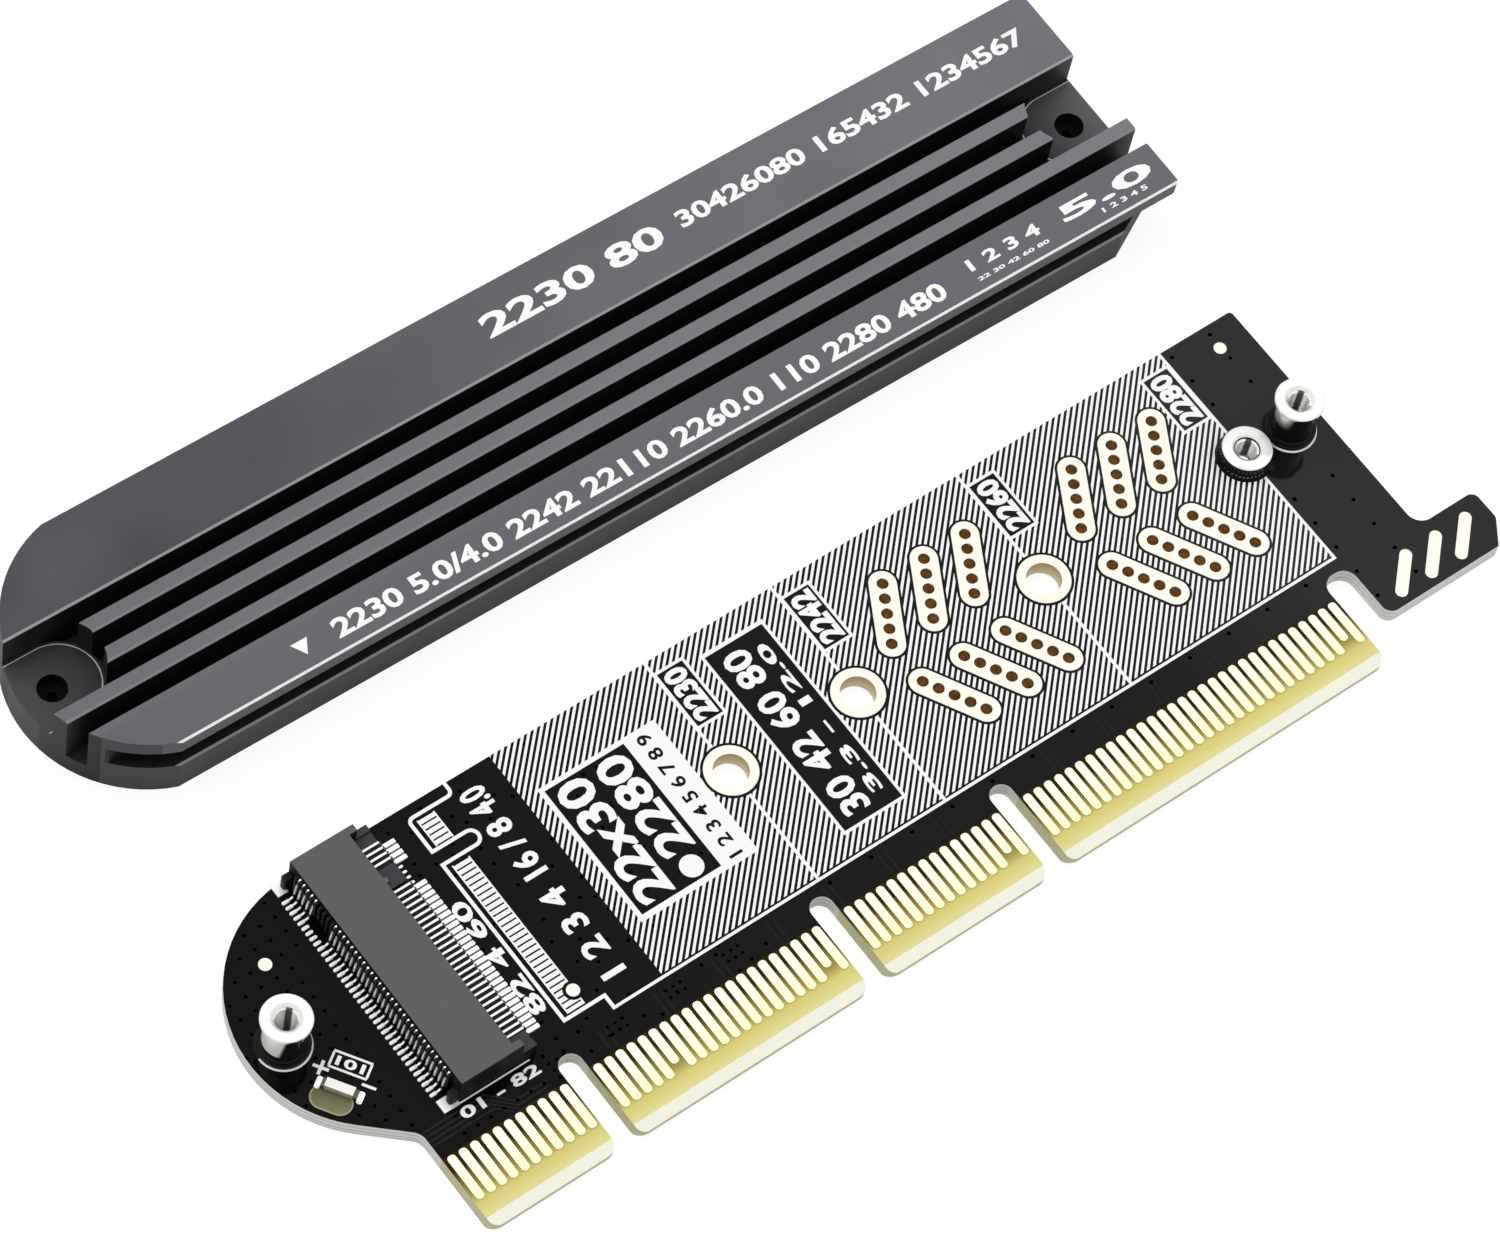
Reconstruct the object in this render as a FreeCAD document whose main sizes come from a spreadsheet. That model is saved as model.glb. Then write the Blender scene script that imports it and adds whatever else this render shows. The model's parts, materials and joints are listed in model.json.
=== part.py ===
import FreeCAD, Part
import math
import os
import re
import Sketcher
from FreeCAD import Vector

# NVMe adapter card: a full-length card edge board with an M.2 connector, and the finned heat
# spreader that screws down over it, laid beside the card. Millimetres, +Z up.
# Card bodies use the card frame: X from the first tab's left edge, Y from the line of screw
# holes, Z from the surface that the card lies on.

SIZES = {
    # where the card and the spreader lie
    "card_place_x": 46.25, "card_place_y": 11.365,
    "spreader_x": 45.167, "spreader_y": 31.455, "spreader_turn": 1.05,
    # board
    "laminate_thickness": 1.5, "copper_thickness": 0.05,
    "far_edge": 10.9, "right_edge": 93.87, "card_edge": 20.05,
    "round_end_centre": 3.8, "shoulder_angle": 228, "shoulder_fillet": 1.3,
    "bevel_length": 0.85, "bevel_depth": 0.5, "tab_corner": 0.9,
    "notch_top": 11.95, "notch_width": 1.94, "notch_corner": 0.94,
    "slot_width": 2.68, "slot_corner": 1.2,
    "hook_top": 12.28, "hook_bottom": 17.12, "hook_reach": 99.6,
    "hook_tip_cut": 1.5, "hook_tip_rise": 2.1, "hook_heel": 0.9, "hook_throat": 1.3,
    "hook_tip_corner": 0.7, "far_corner": 0.35,
    # contacts of the card edge
    "contact_pitch": 1.0, "first_contact": 0.65, "last_contact_margin": 0.6,
    "first_tab_pins": 11, "second_tab_pins": 21, "third_tab_pins": 15, "last_tab_pins": 31,
    "contact_width": 0.7, "contact_length": 4.0, "contact_setback": 2.25, "short_by": 0.8,
    # screw holes for the shorter modules
    "first_screw_hole": 36.39, "second_screw_hole": 48.39, "third_screw_hole": 66.39,
    "screw_hole_radius": 1.4, "hole_pad_radius": 2.12,
    # thermal pads
    "pad_first_x": 53.1, "pad_first_y": 1.93, "pad_pitch": 4.0, "pad_group_pitch": 18.5,
    "pad_angle": 60, "pad_radius": 1.1, "via_pitch": 1.305, "via_radius": 0.49,
    # gold bars on the hook, and round targets
    "bar_first_x": 89.05, "bar_low_y": 16.05, "bar_length": 3.29, "bar_angle": 44.4,
    "bar_radius": 0.5, "bar_pitch": 3.05, "target_radius": 0.55,
    "left_target_x": -1.62, "left_target_y": 5.97, "low_target_x": 15.81,
    "low_target_y": -8.09, "right_target_x": 90.99, "right_target_y": 8.69,
    # M.2 connector
    "connector_rear": 3.66, "connector_depth": 5.6, "connector_length": 21.4,
    "connector_height": 2.95, "lip_reach": 1.27, "lip_height": 1.3, "mouth_height": 0.9,
    "mouth_depth": 3.9, "cheek_width": 0.85, "cheek_height": 1.95,
    "key_place": 6.125, "key_width": 1.2,
    "lead_pitch": 0.5, "lead_width": 0.24, "lead_thickness": 0.15, "lead_gap": 0.02,
    "rear_leads": 38, "front_leads": 37, "key_leads": 4,
    "rear_foot_end": 2.25, "rear_lead_height": 2.5, "front_foot_end": 11.9,
    "lead_tip_gap": 0.9,
    "holder_left": 2.25, "holder_right": 3.15, "holder_inner": 9.85,
    "holder_outer": 10.95, "holder_arm": 0.5,
    # standoffs for the spreader, and the nut for the module's screw
    "left_standoff": -4.2, "standoff_height": 4.4, "flange_radius": 2.07,
    "flange_height": 0.45, "post_radius": 1.65, "head_radius": 1.97, "head_height": 0.35,
    "thread_radius": 0.8, "mouth_radius": 1.1,
    "spigot_radius": 1.2, "spigot_clearance": 0.05,
    "nut_place": 86.39, "nut_height": 1.25, "nut_radius": 2.1,
    # light
    "light_x": -2.9, "light_y": -5.2, "light_angle": 56.3, "light_length": 2.2,
    "light_width": 0.72, "light_height": 0.6, "terminal_length": 0.3,
    "terminal_height": 0.35,
    # heat spreader, from the middle between its two screw holes
    "screw_spacing": 95.12, "spreader_height": 6.95, "spreader_back": 10.56,
    "spreader_front": 10.2, "spreader_right": 50.14, "spreader_round_radius": 10.84,
    "spreader_round_centre": 39.36, "slab_front": 3.65, "groove_width": 1.54,
    "groove_pitch": 2.7, "groove_depth": 5.0, "groove_count": 4, "edge_chamfer": 0.16,
    "side_slot_low": 3.39, "side_slot_high": 5.48, "side_slot_depth": 2.95,
    "corner_cut_start": 45.2, "corner_cut_slope": 0.526, "shelf_corner": 0.45,
    "landing_height": 3.67, "landing_radius": 3.47, "landing_end": 46.9,
    "spreader_hole_radius": 1.18,
}

# Heights above the surface that the card lies on, and above the board's own face
BOARD_TOP = "(copper_thickness + laminate_thickness)"
CARD_TOP = "(2 * copper_thickness + laminate_thickness)"

# The first contact of each tab, the middle of each notch, and the right side of the last tab
TAB_PINS = ("first_tab_pins", "second_tab_pins", "third_tab_pins", "last_tab_pins")
TAB_STARTS = ["first_contact"]
for pins in TAB_PINS[:-1]:
    TAB_STARTS.append(f"({TAB_STARTS[-1]} + ({pins} + 2) * contact_pitch)")
NOTCHES = [f"({start} - 1.5 * contact_pitch)" for start in TAB_STARTS[1:]]
TABS_RIGHT = f"({TAB_STARTS[-1]} + (last_tab_pins - 1) * contact_pitch + last_contact_margin)"
SLOT_RIGHT = f"({TABS_RIGHT} + slot_width)"

# Faces of the M.2 connector
CONNECTOR_FRONT = "(connector_rear + connector_depth)"
LIP_FRONT = "(connector_rear + connector_depth + lip_reach)"
MOUTH_BACK = "(connector_rear + connector_depth - mouth_depth)"
MOUTH_TOP = "(lip_height + mouth_height)"

# The connector's leads: the first of each row, and the faces that run up beside the housing
FIRST_REAR_LEAD = "((1 - rear_leads) / 2 * lead_pitch)"
FIRST_FRONT_LEAD = "((1 - front_leads) / 2 * lead_pitch)"
REAR_RISER = "(connector_rear - lead_gap)"
FRONT_RISER = f"({LIP_FRONT} + lead_gap)"
KEY_GAP = "(key_leads / 2 * lead_pitch)"
ROOF = "(rear_lead_height + lead_gap)"

# Contacts of the card edge that stop short, by face, tab and place in the tab, from 0
SHORT_CONTACTS = {"front": {1: (5, 19), 2: (13,), 3: (29,)}, "back": {0: (0,)}}

doc = FreeCAD.newDocument("nvme_adapter_card")
sizes = doc.addObject("Spreadsheet::Sheet", "sizes")
for row, (alias, amount) in enumerate(SIZES.items(), start=1):
    sizes.set(f"A{row}", alias.replace("_", " "))
    sizes.set(f"B{row}", str(amount))
    sizes.setAlias(f"B{row}", alias)
doc.recompute()

nodes = []


# ---- Helpers: expressions, sketches and features ----

def full_name(expression):
    """An expression with the sheet's name put before each of its words."""
    return re.sub(r"[a-z]\w*", lambda word: "sizes." * (word[0] in SIZES) + word[0], expression)


def amount_of(expression):
    """The number that an expression comes to."""
    return float(sizes.evalExpression(full_name(expression)))


def bind(thing, path, expression):
    """Tie one property of an object to the sheet."""
    thing.setExpression(path, full_name(expression))


def new_body(label, x="0", y="0", z="0", turn="0"):
    """A body whose origin is at a place in the card frame."""
    body = doc.addObject("PartDesign::Body", label)
    body.Label = label
    bind(body, "Placement.Base.x", f"{x} - card_place_x")
    bind(body, "Placement.Base.y", f"{y} - card_place_y")
    bind(body, "Placement.Base.z", z)
    bind(body, "Placement.Rotation.Angle", turn)
    nodes.append(body)
    return body


def origin_plane(body, role):
    return next(item for item in body.Origin.OriginFeatures if item.Role == role)


def new_sketch(body, name, role="XY_Plane", height="0"):
    """A sketch on one of the body's own planes, raised to a height."""
    sketch = body.newObject("Sketcher::SketchObject", name)
    sketch.AttachmentSupport = [(origin_plane(body, role), "")]
    sketch.MapMode = "FlatFace"
    bind(sketch, "AttachmentOffset.Base.z", height)
    return sketch


def measure(sketch, kind, geometry, expression, point=None):
    """Give a radius or a place of a point a size that follows the sheet."""
    amount = amount_of(expression)
    if point is None:
        constraint = Sketcher.Constraint(kind, geometry, amount)
    else:
        constraint = Sketcher.Constraint(kind, -1, 1, geometry, point, amount)
    bind(sketch, f"Constraints[{sketch.addConstraint(constraint)}]", expression)


def pin_point(sketch, geometry, point, place):
    """Fix a point of the sketch at a place given by two expressions."""
    measure(sketch, "DistanceX", geometry, place[0], point)
    measure(sketch, "DistanceY", geometry, place[1], point)


def arc_between(start, end, radius, clockwise):
    """The shorter arc from start to end."""
    if clockwise:
        start, end = end, start
    chord = end - start
    rise = math.sqrt(max(radius ** 2 - (chord.Length / 2) ** 2, 0))
    centre = (start + end) / 2 + Vector(-chord.y, chord.x, 0).normalize() * rise
    angles = [math.atan2(place.y - centre.y, place.x - centre.x) for place in (start, end)]
    if angles[1] < angles[0]:
        angles[1] += 2 * math.pi
    return Part.ArcOfCircle(Part.Circle(centre, Vector(0, 0, 1), radius), *angles)


def draw_outline(sketch, corners, arcs=None):
    """Draw a closed outline through corners. arcs gives the radius of the arc that leaves a
    corner, by the corner's number, with a minus sign where the arc turns clockwise."""
    arcs = arcs or {}
    places = [Vector(amount_of(x), amount_of(y), 0) for x, y in corners]
    ends = []
    for number, place in enumerate(places):
        following = places[(number + 1) % len(places)]
        if number not in arcs:
            edge = sketch.addGeometry(Part.LineSegment(place, following))
            ends.append((edge, 1, 2))
            continue
        clockwise = arcs[number].startswith("-")
        radius = arcs[number].lstrip("-")
        arc = arc_between(place, following, amount_of(radius), clockwise)
        edge = sketch.addGeometry(arc)
        measure(sketch, "Radius", edge, radius)
        ends.append((edge, 2, 1) if clockwise else (edge, 1, 2))
    for number, (edge, first, last) in enumerate(ends):
        following = ends[(number + 1) % len(ends)]
        sketch.addConstraint(
            Sketcher.Constraint("Coincident", edge, last, following[0], following[1]))
        pin_point(sketch, edge, first, corners[number])


def draw_box(sketch, left, right, low, high):
    draw_outline(sketch, [(left, low), (right, low), (right, high), (left, high)])


def draw_circle(sketch, place, radius):
    centre = Vector(amount_of(place[0]), amount_of(place[1]), 0)
    circle = sketch.addGeometry(Part.Circle(centre, Vector(0, 0, 1), amount_of(radius)))
    pin_point(sketch, circle, 3, place)
    measure(sketch, "Radius", circle, radius)


def ring_corner(place, radius, angle):
    """A corner at an angle round a place."""
    return (f"{place[0]} + {radius} * cos({angle})", f"{place[1]} + {radius} * sin({angle})")


def draw_polygon(sketch, place, radius, sides, turn="0"):
    """Draw a small round hole or disc with few sides."""
    draw_outline(sketch, [ring_corner(place, radius, f"{turn} + {360 * side / sides}")
                          for side in range(sides)])


def draw_flat_stadium(sketch, start, length, heading, radius):
    """Draw a stadium whose ends have three sides each."""
    end = ring_corner(start, length, heading)
    corners = [ring_corner(end, radius, f"{heading} + {60 * side - 90}") for side in range(4)]
    corners += [ring_corner(start, radius, f"{heading} + {60 * side + 90}") for side in range(4)]
    draw_outline(sketch, corners)


def draw_stadium(sketch, start, end, radius):
    """Draw two parallel lines joined by round ends centred on start and end."""
    first = Vector(amount_of(start[0]), amount_of(start[1]), 0)
    second = Vector(amount_of(end[0]), amount_of(end[1]), 0)
    reach = amount_of(radius)
    along = (second - first).normalize()
    aside = Vector(-along.y, along.x, 0) * reach
    heading = math.atan2(along.y, along.x)
    quarter = math.pi / 2
    up = Vector(0, 0, 1)
    low = sketch.addGeometry(Part.LineSegment(first - aside, second - aside))
    far = sketch.addGeometry(Part.ArcOfCircle(
        Part.Circle(second, up, reach), heading - quarter, heading + quarter))
    high = sketch.addGeometry(Part.LineSegment(second + aside, first + aside))
    near = sketch.addGeometry(Part.ArcOfCircle(
        Part.Circle(first, up, reach), heading + quarter, heading + 3 * quarter))
    for edge, following in ((low, far), (far, high), (high, near), (near, low)):
        sketch.addConstraint(Sketcher.Constraint("Tangent", edge, 2, following, 1))
    sketch.addConstraint(Sketcher.Constraint("Equal", near, far))
    pin_point(sketch, near, 3, start)
    pin_point(sketch, far, 3, end)
    measure(sketch, "Radius", near, radius)


def add_pad(body, sketch, name, length, side="One side"):
    pad = body.newObject("PartDesign::Pad", name)
    pad.Profile = sketch
    pad.SideType = side
    bind(pad, "Length", length)
    return pad


def add_pocket(body, sketch, name, depth=None):
    """Cut a sketch down to a depth, or right through on both sides."""
    pocket = body.newObject("PartDesign::Pocket", name)
    pocket.Profile = sketch
    if depth:
        bind(pocket, "Length", depth)
    else:
        pocket.Type = "ThroughAll"
        pocket.SideType = "Symmetric"
    return pocket


def add_row(body, feature, sketch, name, spacing, count, axis="H_Axis", backwards=False):
    """Repeat a feature in a straight row."""
    pattern = body.newObject("PartDesign::LinearPattern", name)
    pattern.Originals = [feature]
    pattern.Direction = (sketch, [axis])
    pattern.Mode = "Spacing"
    pattern.Reversed = backwards
    bind(pattern, "Offset", spacing)
    bind(pattern, "Occurrences", count)
    body.Tip = pattern
    return pattern


def revolve(body, name, corners):
    """Turn a half section, drawn as distances from the axis and heights, about Z."""
    sketch = new_sketch(body, f"{name}_section", "XZ_Plane")
    draw_outline(sketch, corners)
    turned = body.newObject("PartDesign::Revolution", name)
    turned.Profile = sketch
    turned.ReferenceAxis = (sketch, ["V_Axis"])
    turned.Angle = 360
    return turned


def upright_edges(feature, places):
    """The names of the upright edges that stand at places given by expressions."""
    wanted = [Vector(amount_of(x), amount_of(y), 0) for x, y in places]
    names = []
    for number, edge in enumerate(feature.Shape.Edges, start=1):
        ends = [vertex.Point for vertex in edge.Vertexes]
        if len(ends) != 2 or abs(ends[0].z - ends[1].z) < 0.1:
            continue
        feet = [Vector(end.x, end.y, 0) for end in ends]
        if any(all(foot.isEqual(place, 0.01) for foot in feet) for place in wanted):
            names.append(f"Edge{number}")
    return names


def long_edges(feature, lines):
    """The names of the edges along X that lie on lines given as Y and Z."""
    wanted = [Vector(0, amount_of(y), amount_of(z)) for y, z in lines]
    names = []
    for number, edge in enumerate(feature.Shape.Edges, start=1):
        ends = [vertex.Point for vertex in edge.Vertexes]
        if len(ends) != 2 or ends[0].isEqual(ends[1], 0.1):
            continue
        feet = [Vector(0, end.y, end.z) for end in ends]
        if any(all(foot.isEqual(line, 0.01) for foot in feet) for line in wanted):
            names.append(f"Edge{number}")
    return names


def round_corners(body, feature, name, places, radius):
    """Fillet upright edges of the body."""
    doc.recompute()
    fillet = body.newObject("PartDesign::Fillet", name)
    fillet.Base = (feature, upright_edges(feature, places))
    bind(fillet, "Radius", radius)
    return fillet


# ---- Board ----

def make_board():
    body = new_body("circuit_board", z="copper_thickness")
    shoulder_x = "(round_end_centre + far_edge * cos(shoulder_angle))"
    shoulder_y = "(far_edge * sin(shoulder_angle))"
    shoulder_foot = f"({shoulder_y} + {shoulder_x} / tan(shoulder_angle))"
    outline = new_sketch(body, "board_outline")
    draw_outline(outline, [
        ("round_end_centre", "far_edge"),
        (shoulder_x, shoulder_y),
        ("0", shoulder_foot),
        ("0", "-card_edge"),
        (TABS_RIGHT, "-card_edge"),
        (TABS_RIGHT, "-notch_top"),
        (SLOT_RIGHT, "-notch_top"),
        (SLOT_RIGHT, "-hook_bottom"),
        ("hook_reach - hook_tip_cut", "-hook_bottom"),
        ("hook_reach", "hook_tip_rise - hook_bottom"),
        ("hook_reach", "-hook_top"),
        ("right_edge", "-hook_top"),
        ("right_edge", "far_edge"),
    ], {0: "far_edge"})
    add_pad(body, outline, "board_sheet", "laminate_thickness")

    notches = new_sketch(body, "notch_outlines")
    for notch in NOTCHES:
        draw_box(notches, f"{notch} - notch_width / 2", f"{notch} + notch_width / 2",
                 "-card_edge - 1", "-notch_top")
    feature = add_pocket(body, notches, "edge_notches")

    notch_sides = [f"{notch} {side} notch_width / 2" for notch in NOTCHES for side in "-+"]
    slot_sides = [TABS_RIGHT, SLOT_RIGHT]
    for name, places, radius in (
        ("shoulder", [("0", shoulder_foot)], "shoulder_fillet"),
        ("notch_tops", [(side, "-notch_top") for side in notch_sides], "notch_corner"),
        ("slot_top", [(side, "-notch_top") for side in slot_sides], "slot_corner"),
        ("tab_corners", [(side, "-card_edge") for side in ["0", *notch_sides, TABS_RIGHT]],
         "tab_corner"),
        ("heel", [(SLOT_RIGHT, "-hook_bottom")], "hook_heel"),
        ("throat", [("right_edge", "-hook_top")], "hook_throat"),
        ("hook_tip", [("hook_reach", "-hook_top"), ("hook_reach", "hook_tip_rise - hook_bottom")],
         "hook_tip_corner"),
        ("far_right", [("right_edge", "far_edge")], "far_corner"),
    ):
        feature = round_corners(body, feature, name, places, radius)

    bevel = new_sketch(body, "bevel_section", "YZ_Plane")
    draw_outline(bevel, [
        ("bevel_length - card_edge", "laminate_thickness"),
        ("-card_edge", "laminate_thickness - bevel_depth"),
        ("-card_edge - 1", "laminate_thickness - bevel_depth"),
        ("-card_edge - 1", "laminate_thickness"),
    ])
    draw_outline(bevel, [
        ("bevel_length - card_edge", "0"), ("-card_edge", "bevel_depth"),
        ("-card_edge - 1", "bevel_depth"), ("-card_edge - 1", "0"),
    ])
    add_pocket(body, bevel, "edge_bevels")

    holes = new_sketch(body, "hole_circles")
    for place in ("first_screw_hole", "second_screw_hole", "third_screw_hole"):
        draw_circle(holes, (place, "0"), "screw_hole_radius")
    for place in ("left_standoff", "(left_standoff + screw_spacing)", "nut_place"):
        draw_circle(holes, (place, "0"), "(spigot_radius + spigot_clearance)")
    add_pocket(body, holes, "board_holes")

    vias = new_sketch(body, "via_outlines")
    for number in range(5):
        draw_polygon(vias, (f"pad_first_x + {number} * via_pitch * cos(pad_angle)",
                            f"pad_first_y + {number} * via_pitch * sin(pad_angle)"),
                     "(via_radius + copper_thickness)", 6, "pad_angle")
    drilled = add_pocket(body, vias, "first_vias")
    repeats = body.newObject("PartDesign::MultiTransform", "all_vias")
    repeats.Originals = [drilled]
    steps = []
    for name, spacing, count in (("vias_along", "pad_pitch", "3"),
                                 ("vias_by_group", "pad_group_pitch", "2")):
        step = body.newObject("PartDesign::LinearPattern", name)
        step.Direction = (vias, ["H_Axis"])
        step.Mode = "Spacing"
        bind(step, "Offset", spacing)
        bind(step, "Occurrences", count)
        steps.append(step)
    mirrored = body.newObject("PartDesign::Mirrored", "vias_across")
    mirrored.MirrorPlane = (vias, ["H_Axis"])
    steps.append(mirrored)
    repeats.Transformations = steps
    body.Tip = repeats


# ---- Copper on the board ----

def make_edge_contacts(side, height):
    """One node of contacts for each tab."""
    for tab, (start, pins) in enumerate(zip(TAB_STARTS, TAB_PINS)):
        body = new_body(f"{side}_contacts_{tab + 1}", x=start, y="(contact_setback - card_edge)",
                        z=height)
        outline = new_sketch(body, "contact_outline")
        draw_box(outline, "-contact_width / 2", "contact_width / 2", "0", "contact_length")
        contact = add_pad(body, outline, "contact", "copper_thickness")
        add_row(body, contact, outline, "contact_row", "contact_pitch", pins)
        shorts = SHORT_CONTACTS[side].get(tab, ())
        if not shorts:
            continue
        cut = new_sketch(body, "short_contact_outline", height="copper_thickness")
        for place in shorts:
            middle = f"{place} * contact_pitch"
            draw_box(cut, f"{middle} - contact_pitch / 2", f"{middle} + contact_pitch / 2",
                     "-short_by", "short_by")
        add_pocket(body, cut, "short_contacts", "copper_thickness")


def make_hole_pads():
    """Flat rings round the three screw holes."""
    for number, place in enumerate(("first", "second", "third"), start=1):
        body = new_body(f"screw_hole_{number}_pad", x=f"{place}_screw_hole", z=BOARD_TOP)
        ring = new_sketch(body, "ring_circles")
        draw_circle(ring, ("0", "0"), "screw_hole_radius")
        draw_circle(ring, ("0", "0"), "hole_pad_radius")
        add_pad(body, ring, "ring", "copper_thickness")


def make_thermal_pads():
    """Twelve pads in two groups of chevrons, each with five holes."""
    number = 0
    for group in range(2):
        for place in range(3):
            for side in (1, -1):
                number += 1
                body = new_body(f"thermal_pad_{number:02d}",
                                x=f"pad_first_x + {group} * pad_group_pitch + {place} * pad_pitch",
                                y=f"{side} * pad_first_y", z=BOARD_TOP,
                                turn=f"{side} * pad_angle")
                outline = new_sketch(body, "pad_outline")
                draw_flat_stadium(outline, ("0", "0"), "4 * via_pitch", "0", "pad_radius")
                for via in range(5):
                    draw_polygon(outline, (f"{via} * via_pitch", "0"), "via_radius", 6)
                add_pad(body, outline, "pad", "copper_thickness")


def make_bars():
    body = new_body("hook_bars", x="bar_first_x", y="-bar_low_y", z=BOARD_TOP)
    outline = new_sketch(body, "bar_outline")
    draw_flat_stadium(outline, ("0", "0"), "bar_length", "bar_angle", "bar_radius")
    bar = add_pad(body, outline, "bar", "copper_thickness")
    add_row(body, bar, outline, "bars", "bar_pitch", "3")


def make_targets():
    body = new_body("targets", z=BOARD_TOP)
    discs = new_sketch(body, "target_outlines")
    for place in ("left", "low", "right"):
        draw_polygon(discs, (f"{place}_target_x", f"{place}_target_y"), "target_radius", 8)
    add_pad(body, discs, "target_discs", "copper_thickness")


# ---- M.2 connector ----

def make_connector_housing():
    body = new_body("connector_housing", z=CARD_TOP)
    section = new_sketch(body, "housing_section", "XZ_Plane")
    draw_outline(section, [
        ("connector_rear", "0"),
        (LIP_FRONT, "0"),
        (LIP_FRONT, "lip_height"),
        (MOUTH_BACK, "lip_height"),
        (MOUTH_BACK, ROOF),
        (f"{CONNECTOR_FRONT} - lead_thickness", ROOF),
        (f"{CONNECTOR_FRONT} - lead_thickness", MOUTH_TOP),
        (CONNECTOR_FRONT, MOUTH_TOP),
        (CONNECTOR_FRONT, "connector_height"),
        ("connector_rear", "connector_height"),
    ])
    add_pad(body, section, "housing_length", "connector_length", "Symmetric")

    key = new_sketch(body, "key_outline")
    draw_box(key, MOUTH_BACK, CONNECTOR_FRONT, "key_place - key_width / 2",
             "key_place + key_width / 2")
    add_pad(body, key, "key", ROOF)

    cheeks = new_sketch(body, "cheek_section", "XZ_Plane", "connector_length / 2 - cheek_width")
    draw_outline(cheeks, [
        (MOUTH_BACK, "0"), (LIP_FRONT, "0"), (LIP_FRONT, "cheek_height"),
        (CONNECTOR_FRONT, "connector_height"), (MOUTH_BACK, "connector_height"),
    ])
    cheek = add_pad(body, cheeks, "cheek", "cheek_width")
    both = body.newObject("PartDesign::Mirrored", "both_cheeks")
    both.Originals = [cheek]
    both.MirrorPlane = (origin_plane(body, "XZ_Plane"), [""])
    body.Tip = both

    slots = new_sketch(body, "lead_slot_outlines", height=ROOF)
    inner = f"({KEY_GAP} - lead_pitch / 4)"
    for low, high in ((f"{FIRST_REAR_LEAD} - lead_width", f"key_place - {inner}"),
                      (f"key_place + {inner}", f"lead_width - {FIRST_REAR_LEAD}")):
        draw_box(slots, "connector_rear", MOUTH_BACK, low, high)
    add_pocket(body, slots, "lead_slots", "lead_thickness + 2 * lead_gap")


def make_leads(label, corners, first, count, key_middle):
    """A row of bent leads with the key's positions left out."""
    body = new_body(label, z=CARD_TOP, y=first)
    section = new_sketch(body, "lead_section", "XZ_Plane")
    draw_outline(section, corners)
    lead = add_pad(body, section, "lead", "lead_width", "Symmetric")
    add_row(body, lead, section, "lead_row", "lead_pitch", count, "N_Axis", backwards=True)
    gap = new_sketch(body, "key_gap_outline")
    draw_box(gap, "0", "front_foot_end + 1", f"{key_middle} - {first} - {KEY_GAP}",
             f"{key_middle} - {first} + {KEY_GAP}")
    add_pocket(body, gap, "key_gap")


def make_connector_leads():
    """Rear leads that run in under the roof, and front leads that run in over the lip."""
    roof_underside = "(rear_lead_height - lead_thickness)"
    make_leads("connector_upper_contacts", [
        ("rear_foot_end", "0"),
        (REAR_RISER, "0"),
        (REAR_RISER, roof_underside),
        (f"{CONNECTOR_FRONT} - lead_tip_gap", roof_underside),
        (f"{CONNECTOR_FRONT} - lead_tip_gap", "rear_lead_height"),
        (f"{REAR_RISER} - lead_thickness", "rear_lead_height"),
        (f"{REAR_RISER} - lead_thickness", "lead_thickness"),
        ("rear_foot_end", "lead_thickness"),
    ], FIRST_REAR_LEAD, "rear_leads", "(key_place - lead_pitch / 4)")
    beam = "(lip_height + lead_gap)"
    make_leads("connector_lower_contacts", [
        ("front_foot_end", "0"),
        ("front_foot_end", "lead_thickness"),
        (f"{FRONT_RISER} + lead_thickness", "lead_thickness"),
        (f"{FRONT_RISER} + lead_thickness", f"{beam} + lead_thickness"),
        (f"{MOUTH_BACK} + lead_tip_gap", f"{beam} + lead_thickness"),
        (f"{MOUTH_BACK} + lead_tip_gap", beam),
        (FRONT_RISER, beam),
        (FRONT_RISER, "0"),
    ], FIRST_FRONT_LEAD, "front_leads", "(key_place + lead_pitch / 4)")


def make_holders():
    """The two solder tabs that hold the connector's rear corners down."""
    for name, side in (("near", "-"), ("far", "")):
        body = new_body(f"connector_holder_{name}", z=CARD_TOP)
        outline = new_sketch(body, "holder_outline")
        arm = "(holder_outer - holder_arm)"
        draw_outline(outline, [
            ("holder_left", f"{side}holder_inner"),
            ("holder_right", f"{side}holder_inner"),
            ("holder_right", f"{side}{arm}"),
            ("(connector_rear - lead_gap)", f"{side}{arm}"),
            ("(connector_rear - lead_gap)", f"{side}holder_outer"),
            ("holder_left", f"{side}holder_outer"),
        ])
        add_pad(body, outline, "holder", "lead_thickness")


# ---- Standoffs, nut and light ----

def make_standoffs():
    """Two turned posts that the spreader's screws go into."""
    body = new_body("heatsink_standoffs", x="left_standoff")
    top = f"({CARD_TOP} + standoff_height)"
    post = revolve(body, "post", [
        ("thread_radius", "0"),
        ("spigot_radius", "0"),
        ("spigot_radius", CARD_TOP),
        ("flange_radius", CARD_TOP),
        ("flange_radius", f"{CARD_TOP} + flange_height"),
        ("post_radius", f"{CARD_TOP} + flange_height"),
        ("post_radius", f"{top} - head_height"),
        ("head_radius", f"{top} - head_height"),
        ("head_radius", top),
        ("mouth_radius", top),
        ("thread_radius", f"{top} - mouth_radius + thread_radius"),
    ])
    add_row(body, post, post.Profile[0], "both_posts", "screw_spacing", "2")


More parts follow.
